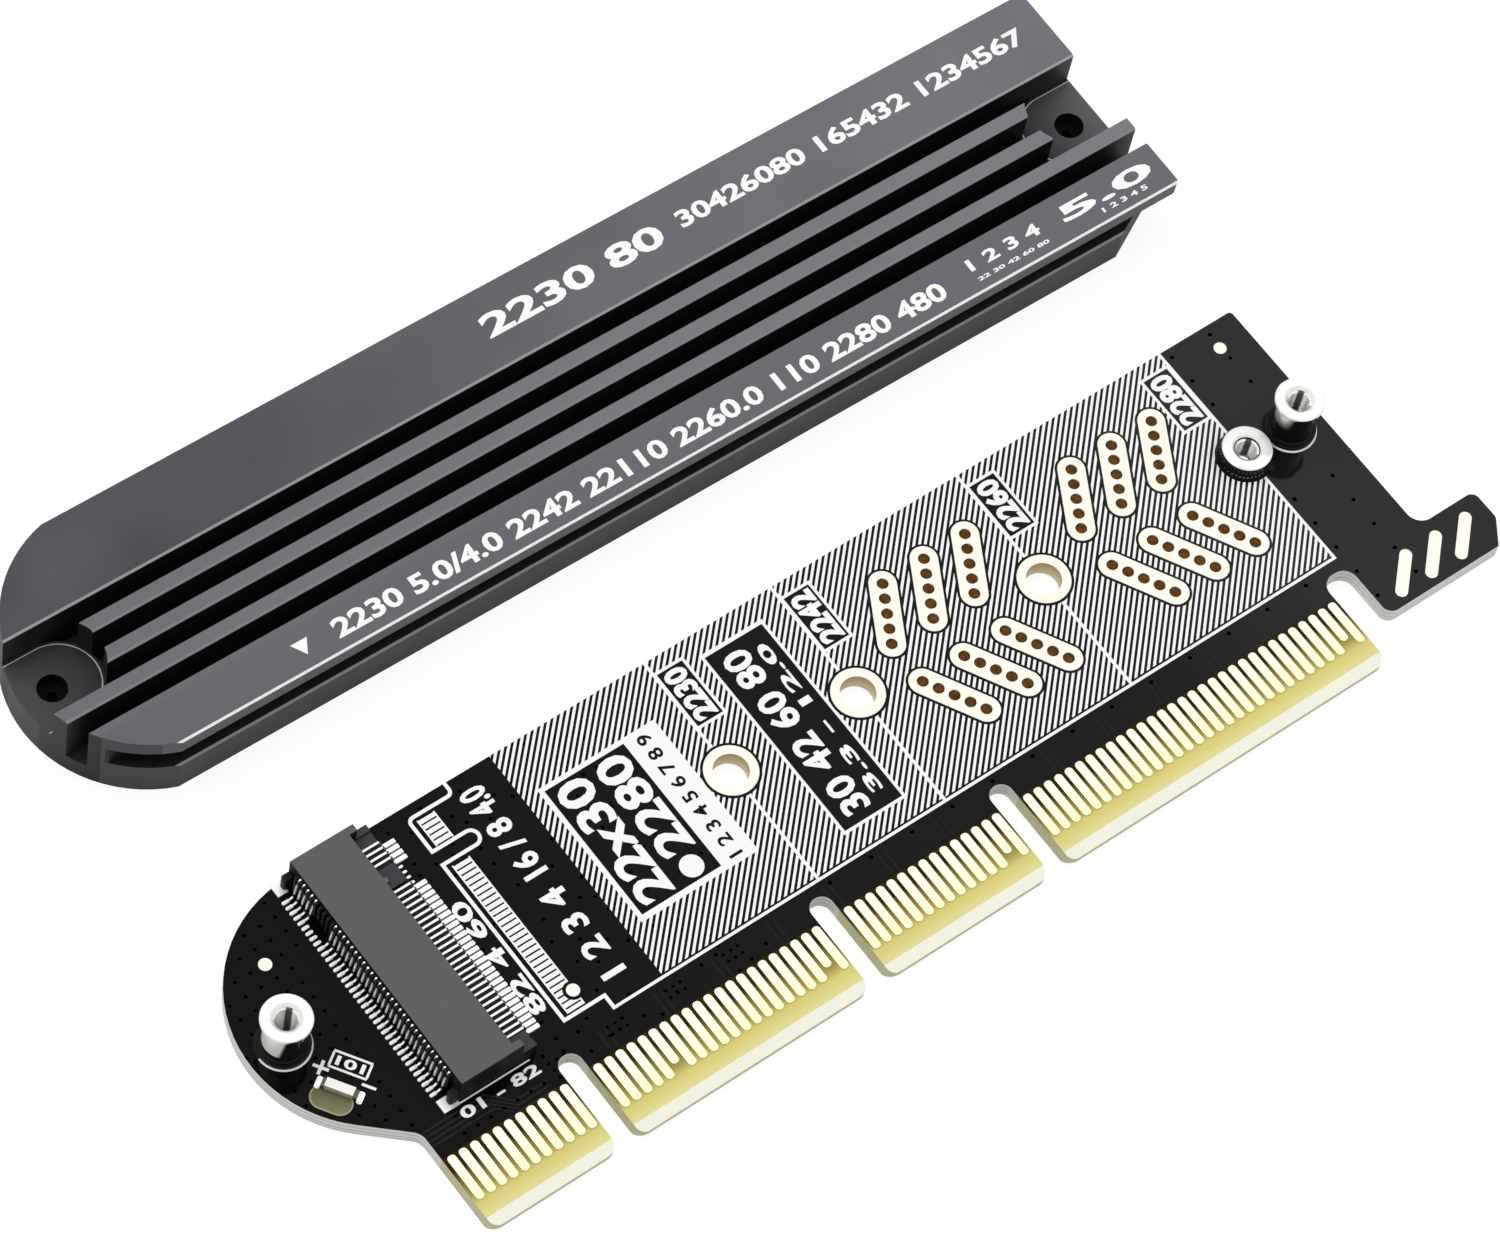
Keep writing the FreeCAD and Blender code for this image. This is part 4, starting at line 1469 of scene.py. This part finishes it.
@dataclass
class ThermalPads:
    """Slanting pads with round holes, with brown plugs below the top that stand for the shade
    inside the holes.
    """

    gold: Material
    via_shade: Material
    radius: float = 1.1
    hole: float = 0.47
    step: float = 1.305
    holes: int = 5
    slant: float = 60.0
    plug: float = 0.463
    plug_edge: float = 0.13
    fill_height: float = 1.25
    fill_middle: float = 0.875
    round_steps: int = 20

    def along(self) -> list[float]:
        """Where the holes stand along a pad, in metres from its middle."""
        return [(number - (self.holes - 1) / 2) * self.step * MM for number in range(self.holes)]

    def pattern(self, thickness: float) -> Object:
        """Model one pad along X about the origin.

        Args:
            thickness: of the pad, in metres.

        Returns:
            The pad.
        """
        length = (self.holes - 1) * self.step + 2 * self.radius
        plate = slab((length * MM, 2 * self.radius * MM, thickness), self.radius * 0.999 * MM, 12)
        for place in self.along():
            drill = cylinder(Vector((place, 0, 0)), self.hole, thickness * 3, self.round_steps)
            apply_modifier(plate, "BOOLEAN", operation="DIFFERENCE", object=drill)
            bpy.data.objects.remove(drill)
        return plate

    def fill(self) -> Object:
        """Model the plugs of painted shade in one pad's holes, along X about the origin.

        Returns:
            The five plugs.
        """
        plugs = []
        for place in self.along():
            plug = cylinder(Vector((place, 0, 0)), self.plug, self.fill_height * MM,
                            self.round_steps)
            apply_modifier(plug, "BEVEL", width=self.plug_edge * MM, segments=3,
                           limit_method="ANGLE")
            soften(plug, 80)
            plugs.append(plug)
        return join(plugs)

    def build(self) -> None:
        """Make the twelve pads."""
        low, high = map(Vector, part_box("thermal_pad_01"))
        first = self.pattern(high.z - low.z)
        filling = self.fill()
        fillings = []
        for number in range(1, 13):
            node = f"thermal_pad_{number:02d}"
            low, high = map(Vector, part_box(node))
            middle = (low + high) / 2
            pad, plugs = copy_of(first), copy_of(filling)
            turn = math.radians(self.slant if number % 2 else -self.slant)
            set_down(pad, middle, turn)
            set_down(plugs, (middle.x, middle.y, self.fill_middle * MM), turn)
            soften(pad)
            hand_over(pad, f"{node}_plated", self.gold, "pale_gold", node)
            fillings.append(plugs)
        hand_over(join(fillings), "pad_hole_shade_plugs", self.via_shade, "board")
        bpy.data.objects.remove(first)
        bpy.data.objects.remove(filling)


@dataclass
class SmallGold:
    """The slanting bars on the hook and the round targets, with smooth outlines."""

    bench: Bench
    gold: Material
    bar_place: tuple[float, float] = (90.225, -14.9)
    bar_step: float = 3.05
    bar_length: float = 4.29
    bar_width: float = 1.0
    bar_slant: float = 44.4
    round_share: float = 0.499
    target_radius: float = 0.52

    def bars(self) -> None:
        """Three round-ended bars."""
        low, high = map(Vector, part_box("hook_bars"))
        bars = []
        for number in range(3):
            bar = slab((self.bar_length * MM, self.bar_width * MM, high.z - low.z),
                       self.bar_width * self.round_share * MM, 8)
            middle = self.bench.at(self.bar_place[0] + self.bar_step * number,
                                   self.bar_place[1])
            set_down(bar, (middle.x, middle.y, (low.z + high.z) / 2),
                     math.radians(self.bar_slant))
            bars.append(bar)
        hand_over(join(bars), "hook_bars_rounded", self.gold, "pale_gold", "hook_bars")

    def targets(self) -> None:
        """Three discs."""
        low, high = map(Vector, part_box("targets"))
        middle = Vector((0, 0, (low.z + high.z) / 2))
        discs = [cylinder(self.bench.at(x, y) + middle, self.target_radius, high.z - low.z, 28)
                 for x, y in TARGETS]
        hand_over(join(discs), "targets_round", self.gold, "pale_gold", "targets")

    def build(self) -> None:
        """Make both."""
        self.bars()
        self.targets()


@dataclass(frozen=True)
class Block:
    """A small block with rounded upright edges, in millimetres along the card and up.

    Its heights are above the card's copper.
    """

    left: float
    right: float
    width: float
    low: float
    high: float
    radius: float = 0.06

    def model(self) -> Object:
        """Model the block, centred across the card.

        Returns:
            The block.
        """
        piece = slab(((self.right - self.left) * MM, self.width * MM,
                      (self.high - self.low) * MM), self.radius * MM, 2)
        set_down(piece, Vector(((self.left + self.right) / 2, 0,
                                (self.low + self.high) / 2)) * MM)
        return piece


@dataclass
class SocketLeads:
    """The socket's bent leads, the comb behind them and the solder under their feet."""

    bench: Bench
    lead_tin: Material
    solder: Material
    plastic: Material
    pitch: float = 0.5
    key: tuple[float, float] = (5.1, 7.1)
    rear_path: tuple = ((2.25, 0.1), (2.9, 0.1), (3.08, 0.22), (3.2, 0.6), (3.3, 1.3),
                        (3.42, 1.95), (3.58, 2.36), (3.8, 2.43), (8.3, 2.43))
    front_path: tuple = ((11.9, 0.1), (11.0, 0.1), (10.72, 0.2), (10.64, 0.6), (10.62, 1.28),
                         (10.45, 1.42), (6.3, 1.42))
    rear_width: float = 0.15
    front_width: float = 0.17
    thickness: float = 0.12
    rear_first: float = -9.25
    rear_count: int = 38
    front_first: float = -9.0
    front_count: int = 37
    peg_shift: float = -0.15

    def places(self, first: float, count: int, whole: bool = False) -> list[float]:
        """Where a row's members stand across the card.

        Args:
            first: the first of them.
            count: how many places the row has.
            whole: whether the key's places are used too.

        Returns:
            The places in millimetres.
        """
        row = [first + number * self.pitch for number in range(count)]
        return [place for place in row if whole or not self.key[0] < place < self.key[1]]

    def repeat(self, name: str, model: Object, places: list[float], material: Material,
               slot: str, *nodes: str) -> None:
        """Copy one piece to each place and join the copies.

        Args:
            name: the row's name.
            model: the piece to copy, in card millimetres but for Y.
            places: where the copies go.
            material: their finish.
            slot: the record's slot.
            nodes: what the row stands for.
        """
        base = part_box("screw_hole_1_pad")[1][2]
        row = []
        for place in places:
            double = copy_of(model)
            set_down(double, self.bench.at(0, place) + Vector((0, 0, base)))
            row.append(double)
        bpy.data.objects.remove(model)
        hand_over(join(row), name, material, slot, *nodes)

    def build(self) -> None:
        """Make the leads, the comb, the solder and the key's block."""
        rear = self.places(self.rear_first, self.rear_count)
        front = self.places(self.front_first, self.front_count)
        gaps = [place + self.pitch / 2 for place in
                self.places(self.rear_first - self.pitch, self.rear_count + 1, True)]
        keys = [place for place in self.places(self.front_first, self.front_count, True)
                if place not in front]
        middle = sum(self.key) / 2
        self.repeat("rear_leads", ribbon(self.rear_path, self.rear_width, self.thickness), rear,
                    self.lead_tin, "lead_plating", "connector_upper_contacts")
        self.repeat("front_leads", ribbon(self.front_path, self.front_width, self.thickness),
                    front, self.lead_tin, "lead_plating", "connector_lower_contacts")
        for name, block, places, material, slot in (
            ("rear_comb", Block(3.3, 3.67, 0.24, 0.7, 2.6, 0.04), gaps,
             self.plastic, "connector_plastic"),
            ("rear_solder", Block(2.15, 2.8, 0.27, -0.045, 0.1, 0.12),
             self.places(self.rear_first, self.rear_count, True), self.solder, "lead_plating"),
            ("front_solder", Block(11.0, 12.05, 0.36, -0.045, 0.17), front,
             self.solder, "lead_plating"),
            ("key_solder", Block(11.0, 11.35, 0.2, -0.045, 0.04), keys,
             self.solder, "lead_plating"),
            ("key_block", Block(7.9, 10.35, 1.7, 1.25, 1.75, 0.2), [middle],
             self.plastic, "connector_plastic"),
            ("key_peg", Block(8.62, 9.1, 0.48, 1.7, 2.1, 0.23), [middle + self.peg_shift],
             self.plastic, "connector_plastic"),
        ):
            self.repeat(name, block.model(), places, material, slot)


@dataclass
class SocketHousing:
    """The socket's body: a roof set back between two end walls, a long lip and low cheeks."""

    bench: Bench
    plastic: Material
    rear: float = 3.66
    roof_front: float = 8.53
    wall_front: float = 9.24
    lip_front: float = 10.53
    mouth: float = 5.36
    half: float = 10.7
    wall: float = 0.62
    lip_height: float = 1.3
    cheek_height: float = 1.5
    roof_low: float = 2.2
    height: float = 2.95
    foot: tuple[float, float, float] = (0.9, 0.62, 1.55)
    foot_x: float = 3.32
    foot_aside: float = 10.36
    foot_corner: float = 0.22
    foot_edge: float = 0.12
    edge: float = 0.03

    def bar(self, section: list[tuple[float, float]], low: float, high: float) -> Object:
        """Draw a section out across the card.

        Args:
            section: its corners as X and Z, in millimetres.
            low: where it starts across the card.
            high: where it ends.

        Returns:
            The bar, in card millimetres and above the card's copper.
        """
        piece = chain([Vector((x, low, z)) * MM for x, z in section], True)
        with editing(piece):
            bpy.ops.mesh.edge_face_add()
            bpy.ops.mesh.extrude_region_move(
                TRANSFORM_OT_translate={"value": (0, (high - low) * MM, 0)})
            face_outward()
        return piece

    def end(self, side: int) -> Object:
        """One end wall with its low cheek.

        Args:
            side: -1 or 1.

        Returns:
            The end.
        """
        section = [(self.rear, 0), (self.lip_front, 0), (self.lip_front, self.cheek_height),
                   (self.wall_front, self.cheek_height), (self.wall_front, self.height),
                   (self.rear, self.height)]
        low, high = sorted((side * self.half, side * (self.half - self.wall)))
        return self.bar(section, low, high)

    def nub(self, side: int) -> Object:
        """A rounded foot behind the rear wall.

        Args:
            side: -1 or 1.

        Returns:
            The foot.
        """
        foot = slab(tuple(measure * MM for measure in self.foot), self.foot_corner * MM, 4)
        set_down(foot, Vector((self.foot_x, side * self.foot_aside, self.foot[2] / 2)) * MM)
        apply_modifier(foot, "BEVEL", width=self.foot_edge * MM, segments=2,
                       limit_method="ANGLE")
        return foot

    def build(self) -> None:
        """Make the body and its feet."""
        section = [(self.rear, 0), (self.lip_front, 0), (self.lip_front, self.lip_height),
                   (self.mouth, self.lip_height), (self.mouth, self.roof_low),
                   (self.roof_front, self.roof_low), (self.roof_front, self.height),
                   (self.rear, self.height)]
        reach = self.half - self.wall / 2
        body = self.bar(section, -reach, reach)
        for side in (-1, 1):
            end = self.end(side)
            apply_modifier(body, "BOOLEAN", operation="UNION", object=end, solver="EXACT")
            bpy.data.objects.remove(end)
        apply_modifier(body, "BEVEL", width=self.edge * MM, segments=1, limit_method="ANGLE")
        whole = join([body, self.nub(-1), self.nub(1)])
        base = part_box("screw_hole_1_pad")[1][2]
        set_down(whole, self.bench.at(0, 0) + Vector((0, 0, base)))
        hand_over(whole, "socket_housing", self.plastic, "connector_plastic",
                  "connector_housing")


@dataclass
class LightMarks:
    """Solder at the small light's ends, and its printed box and signs."""

    bench: Bench
    solder: Material
    white: Material
    flat: float = 0.012
    light: tuple[float, float] = (-2.9, -5.2)
    label: tuple[float, float] = (-1.1, -4.0)

    def bar(self, centre: tuple[float, float], along: float, aside: float,
            size: tuple[float, float, float], lift: float, radius: float = 0.03) -> Object:
        """A slab turned with the light.

        Args:
            centre: a place in card millimetres.
            along: how far from it along the light.
            aside: how far from it across the light.
            size: its length, width and thickness in millimetres.
            lift: how high its underside stands above the board, in millimetres.
            radius: of its corners.

        Returns:
            The bar.
        """
        piece = slab(tuple(side * MM for side in size), radius * MM, 2)
        turn = Matrix.Rotation(math.radians(-LIGHT_SLANT), 2)
        offset = turn @ Vector((along, aside))
        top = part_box("circuit_board")[1][2]
        place = self.bench.at(centre[0] + offset.x, centre[1] + offset.y)
        set_down(piece, (place.x, place.y, top + (lift + size[2] / 2) * MM),
                 math.radians(-LIGHT_SLANT))
        return piece

    def build(self) -> None:
        """Make the solder and the print."""
        ends = [self.bar(self.light, side * along, -0.05, size, 0.005, radius)
                for side in (-1, 1) for along, size, radius in (
                    (1.62, (0.44, 1.0, 0.14), 0.14), (1.56, (0.3, 0.84, 0.3), 0.1))]
        hand_over(join(ends), "light_solder", self.solder, "lead_plating")
        marks = [self.bar(centre, along, aside, (length, width, self.flat), lift)
                 for centre, along, aside, length, width, lift in (
                     # the label's frame
                     (self.label, 0, -0.66, 3.0, 0.18, 0.004),
                     (self.label, 0, 0.66, 3.0, 0.18, 0.004),
                     (self.label, -1.45, 0, 0.18, 1.2, 0.004),
                     (self.label, 1.45, 0, 0.18, 1.2, 0.004),
                     # plus, and minus
                     (self.light, -1.9, 1.15, 1.25, 0.25, 0.004),
                     (self.light, -1.9, 1.15, 0.25, 1.2, 0.02),
                     (self.light, 1.85, 1.05, 1.1, 0.22, 0.004))]
        hand_over(join(marks), "light_marks", self.white, "board")


@dataclass
class Posts:
    """The two tall standoffs and the low nut, turned with fine edges."""

    nickel: Material
    thread_nickel: Material
    shell: float = 0.97
    bore: float = 0.83
    mouth: float = 1.2
    edge: float = 0.07
    knurl: float = 2.1
    knurl_depth: float = 0.945
    knurl_steps: int = 80
    spigot: float = 1.2
    base: float = 1.6
    flange: float = 2.07
    flange_top: float = 2.05
    post: float = 1.65
    head: float = 1.97
    head_height: float = 0.35
    fillet: float = 0.1
    thread_step: float = 0.4
    thread_depth: float = 0.08
    thread_end: float = 0.5
    clearance: float = 0.005

    def lip(self, height: float) -> list[tuple[float, float]]:
        """The sloping mouth of the bore, from the top face down."""
        return [(self.mouth, height), (self.shell, height - self.mouth + self.shell)]

    def standoff(self, height: float) -> list[tuple[float, float]]:
        """The section of a tall standoff.

        Args:
            height: its full height in millimetres.

        Returns:
            Distances from the axis and heights.
        """
        edge, fillet, neck = self.edge, self.fillet, height - self.head_height
        return [(self.shell, 0.0), (self.spigot, 0.0), (self.spigot, self.base),
                # solder at the foot, and the flange
                (2.18, self.base), (2.19, 1.62), (self.flange, 1.71),
                (self.flange, self.flange_top - edge), (self.flange - edge, self.flange_top),
                # the post between its fillets, and the head
                (self.post + fillet, self.flange_top), (self.post, self.flange_top + fillet),
                (self.post, neck - fillet), (self.post + fillet, neck),
                (self.head - edge, neck), (self.head, neck + edge),
                (self.head, height - edge), (self.head - edge, height), *self.lip(height)]

    def nut(self, height: float) -> list[tuple[float, float]]:
        """The section of the low nut.

        Args:
            height: its full height in millimetres.

        Returns:
            Distances from the axis and heights.
        """
        return [(self.shell, 0.0), (self.spigot, 0.0), (self.spigot, 1.65), (2.02, 1.65),
                (self.knurl, 1.72), (self.knurl, 2.55), (2.05, 2.62),
                (1.99, height - self.edge), (1.9, height), *self.lip(height)]

    def cut_knurl(self, nut: Object) -> None:
        """Press grooves into the nut's rim by drawing in every other column of it.

        Args:
            nut: the turned nut at the origin.
        """
        def grooved(place: Vector) -> bool:
            """Say whether a vertex lies in a groove."""
            column = round(math.atan2(place.y, place.x) / (2 * math.pi) * self.knurl_steps)
            return place.xy.length > (self.knurl - 0.01) * MM and column % 2 == 1

        with editing(nut, grooved):
            bpy.ops.transform.resize(value=(self.knurl_depth, self.knurl_depth, 1),
                                     center_override=(0, 0, 0))

    def thread(self, height: float) -> Object:
        """Model a threaded sleeve.

        Args:
            height: of the post that it goes into, in millimetres.

        Returns:
            The sleeve about the origin.
        """
        top = self.lip(height)[1][1] - 0.02
        rings = [(self.shell - self.clearance, top)]
        while top > self.thread_end:
            rings += [(self.bore, top - 0.14), (self.bore + self.thread_depth, top - 0.34)]
            top -= self.thread_step
        return turned([*rings, (self.shell - self.clearance, top)], 40)

    def build(self) -> None:
        """Make the posts and the nut."""
        low, high = map(Vector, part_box("heatsink_standoffs"))
        height, reach = (high.z - low.z) / MM, (high.y - low.y) / 2
        first, sleeve = turned(self.standoff(height), 48), self.thread(height)
        posts, sleeves = [first, copy_of(first)], [sleeve, copy_of(sleeve)]
        for x, *pair in zip((low.x + reach, high.x - reach), posts, sleeves):
            for piece in pair:
                set_down(piece, (x, (low.y + high.y) / 2, 0))
        whole = join(posts)
        soften(whole)
        hand_over(whole, "standoffs_turned", self.nickel, "nickel", "heatsink_standoffs")
        low, high = map(Vector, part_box("module_screw_nut"))
        height = (high.z - low.z) / MM
        nut = turned(self.nut(height), self.knurl_steps)
        self.cut_knurl(nut)
        sleeves.append(self.thread(height))
        for piece in (nut, sleeves[-1]):
            set_down(piece, ((low.x + high.x) / 2, (low.y + high.y) / 2, 0))
        soften(nut)
        hand_over(nut, "nut_turned", self.nickel, "nickel", "module_screw_nut")
        threads = join(sleeves)
        soften(threads)
        hand_over(threads, "threads", self.thread_nickel, "nickel")


@dataclass
class SpreaderBores:
    """Black threaded sleeves low in the spreader's two screw holes, as painted shade inside them.
    """

    bench: Bench
    black: Material
    spacing: float = 95.12
    outer: float = 1.17
    inner: float = 0.38
    low: float = 0.3
    high: float = 2.4
    thread_half: float = 0.15
    thread_depth: float = 0.1

    def build(self) -> None:
        """Make both sleeves."""
        sleeves = []
        for side in (-0.5, 0.5):
            rings = []
            height = self.high
            while height > self.low:
                rings += [(self.inner, height),
                          (self.inner + self.thread_depth, height - self.thread_half)]
                height -= 2 * self.thread_half
            sleeve = turned([(self.outer, self.low), (self.outer, self.high + 0.1), *rings], 32)
            set_down(sleeve, self.bench.at(side * self.spacing, 0))
            soften(sleeve)
            sleeves.append(sleeve)
        hand_over(join(sleeves), "spreader_hole_shade_sleeves", self.black, "anodised")


@dataclass
class Legend:
    """Plain numbers and marks printed on the card and the spreader."""

    card: Bench
    spreader: Bench
    white: Material
    black: Material
    thickness: float = 0.01
    extrusion: float = 0.01
    print_lift: float = 0.004
    bold: float = 0.045
    medium: float = 0.03
    thin: float = 0.02

    def write(self, words: str, bench: Bench, box: tuple[float, float, float, float],
              turn: Turn, z: float, weight: float = 0.0) -> Object:
        """Print words so that they fill a box.

        Args:
            words: what is printed.
            bench: whose millimetres the box is in.
            box: left, right, low and high.
            turn: which way it reads.
            z: the height of the surface, in metres.
            weight: how much the strokes are thickened, for a cap height of 1.

        Returns:
            The print as a mesh.
        """
        select()
        bpy.ops.object.text_add()
        text = bpy.context.object
        text.data.body = words
        text.data.offset = weight
        text.data.extrude = self.extrusion
        text.data.resolution_u = 3
        bpy.ops.object.convert(target="MESH")
        text = bpy.context.object
        corners = [vertex.co for vertex in text.data.vertices]
        low = Vector((min(c.x for c in corners), min(c.y for c in corners)))
        high = Vector((max(c.x for c in corners), max(c.y for c in corners)))
        left, right, bottom, top = box
        wide, tall = right - left, top - bottom
        if turn is Turn.UPWARD:
            wide, tall = tall, wide
        size = high - low
        middle = bench.at((left + right) / 2, (bottom + top) / 2)
        text.data.transform(Matrix.Translation((-(low + high) / 2).to_3d()))
        text.scale = (wide * MM / size.x, tall * MM / size.y,
                      self.thickness * MM / (2 * self.extrusion))
        settle(text)
        set_down(text, (middle.x, middle.y, z + self.print_lift * MM),
                 bench.turn + math.radians(turn.value))
        return text

    def disc(self, bench: Bench, place: tuple[float, float], radius: float, z: float,
             corners: int = 36, turn: float = 0.0) -> Object:
        """Print a flat round or a flat regular polygon.

        Args:
            bench: whose millimetres the place is in.
            place: its middle.
            radius: in millimetres.
            z: the height of the surface, in metres.
            corners: how many corners it has.
            turn: in radians.

        Returns:
            The print as a mesh.
        """
        return cylinder(bench.at(*place) + Vector((0, 0, z + 2 * self.print_lift * MM)), radius,
                        self.thickness * MM, corners, turn)

    def card_numbers(self) -> None:
        """Numbers on the card."""
        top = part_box("circuit_board")[1][2]
        white = [self.write(words, self.card, (left + 0.45, left + 2.4, 4.55, 9.35),
                            Turn.UPWARD, top, self.bold) for words, left in LENGTHS.items()]
        for box, words, turn in (
            ((24.1, 27.1, -5.6, 5.95), "22x30", Turn.UPWARD),
            ((27.7, 30.6, -3.4, 5.95), "2280", Turn.UPWARD),
            ((18.0, 20.2, 7.0, 9.5), "4.0", Turn.UPWARD),
            ((18.1, 20.2, 0.9, 6.3), "16 / 8", Turn.UPWARD),
            ((18.1, 20.2, -8.8, -0.5), "1 2 3 4", Turn.UPWARD),
            ((12.1, 13.5, -8.3, 2.4), "82 4 60", Turn.UPWARD),
            ((41.2, 43.6, -8.0, 8.0), "30 42 60 80", Turn.UPWARD),
            ((44.1, 45.15, -7.4, 7.4), "3.3 - 12.0", Turn.UPWARD),
            ((3.2, 10.1, -12.15, -11.2), "01 - 82", Turn.ALONG),
            ((-2.2, 0.0, -4.4, -3.6), "101", Turn.SLANTED),
        ):
            white.append(self.write(words, self.card, box, turn, top, self.medium))
        white.append(self.disc(self.card, (29.15, -4.75), 0.95, top))
        hand_over(join(white), "card_numbers", self.white, "board")
        black = self.write("1 2 3 4 5 6 7 8 9", self.card, (31.9, 33.1, -5.9, 6.1),
                           Turn.UPWARD, top, self.thin)
        hand_over(black, "card_small_numbers", self.black, "board")

    def spreader_numbers(self) -> None:
        """Numbers and marks on the spreader."""
        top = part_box("heat_spreader")[1][2]
        white = []
        for box, words in (
            ((-4.2, 12.5, 6.25, 8.35), "2230 80"),
            ((14.2, 47.8, 6.65, 8.25), "30426080 165432 1234567"),
            ((-28.5, 28.2, -9.2, -7.5), "2230 5.0/4.0 2242 22110 2260.0 110 2280 480"),
            ((31.0, 37.9, -8.3, -7.2), "1 2 3 4"), ((31.0, 37.9, -9.3, -8.95), "22 30 42 60 80"),
            ((40.0, 48.9, -8.6, -7.1), "5.0"), ((43.2, 47.6, -9.4, -8.95), "1 2 3 4 5"),
        ):
            white.append(self.write(words, self.spreader, box, Turn.ALONG, top, self.medium))
        white.append(self.disc(self.spreader, (-31.25, -8.15), 0.85, top, 3,
                               self.spreader.turn + math.pi))
        hand_over(join(white), "spreader_numbers", self.white, "anodised")

    def build(self) -> None:
        """Print everything."""
        self.card_numbers()
        self.spreader_numbers()


def dress(nodes: dict, names: list[str], material: Material) -> None:
    """Give CAD nodes a finish.

    Args:
        nodes: the frame's nodes by name.
        names: which of them.
        material: the finish.
    """
    for name in names:
        coat(nodes[name], material)


def main() -> None:
    """Build the scene in order."""
    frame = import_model()
    nodes = frame["nodes"]
    card = card_bench()
    spreader = spreader_bench(frame["record"])
    Studio().build()

    gold = Plated("pale_gold", "fefbf3", "f8f4e4", 0.35, 0.1).make()
    tin = Plated("bright_tin", "ffffff", "f0f0ee", 0.3, 0.3).make()
    via_shade = ViaFill().make()
    white = Ink().make()
    dress(nodes, ["circuit_board"], SolderMask(card).make())
    plastic = SocketPlastic(card).make()
    dress(nodes, ["heat_spreader"], Anodised(spreader).make())
    dress(nodes, ["light_body"], LightResin().make())
    dress(nodes, [f"screw_hole_{number}_pad" for number in (1, 2, 3)], gold)
    dress(nodes, ["connector_holder_near", "connector_holder_far"], tin)
    # the light's terminals are dark grey tin as painted shade
    dress(nodes, ["light_terminals"], Plated("light_terminal", "5c5d54", "3c3d36", 0.4).make())

    EdgeContacts(FingerGold(card).make()).build()
    ThermalPads(gold, via_shade).build()
    SmallGold(card, gold).build()
    SocketHousing(card, plastic).build()
    SocketLeads(card, BentLead(card).make(), tin, plastic).build()
    LightMarks(card, tin, white).build()
    Posts(TurnedNickel().make(), ThreadNickel().make()).build()
    # black sleeves as painted shade inside the spreader's screw holes
    SpreaderBores(spreader, Ink("hole_shade_black", "020202", "0c0c0c").make()).build()
    Legend(card, spreader, white, Ink("black_ink", "121212", "2c2c2c").make()).build()


if __name__ == "__main__":
    logging.basicConfig(level=logging.INFO, format="%(message)s")
    main()
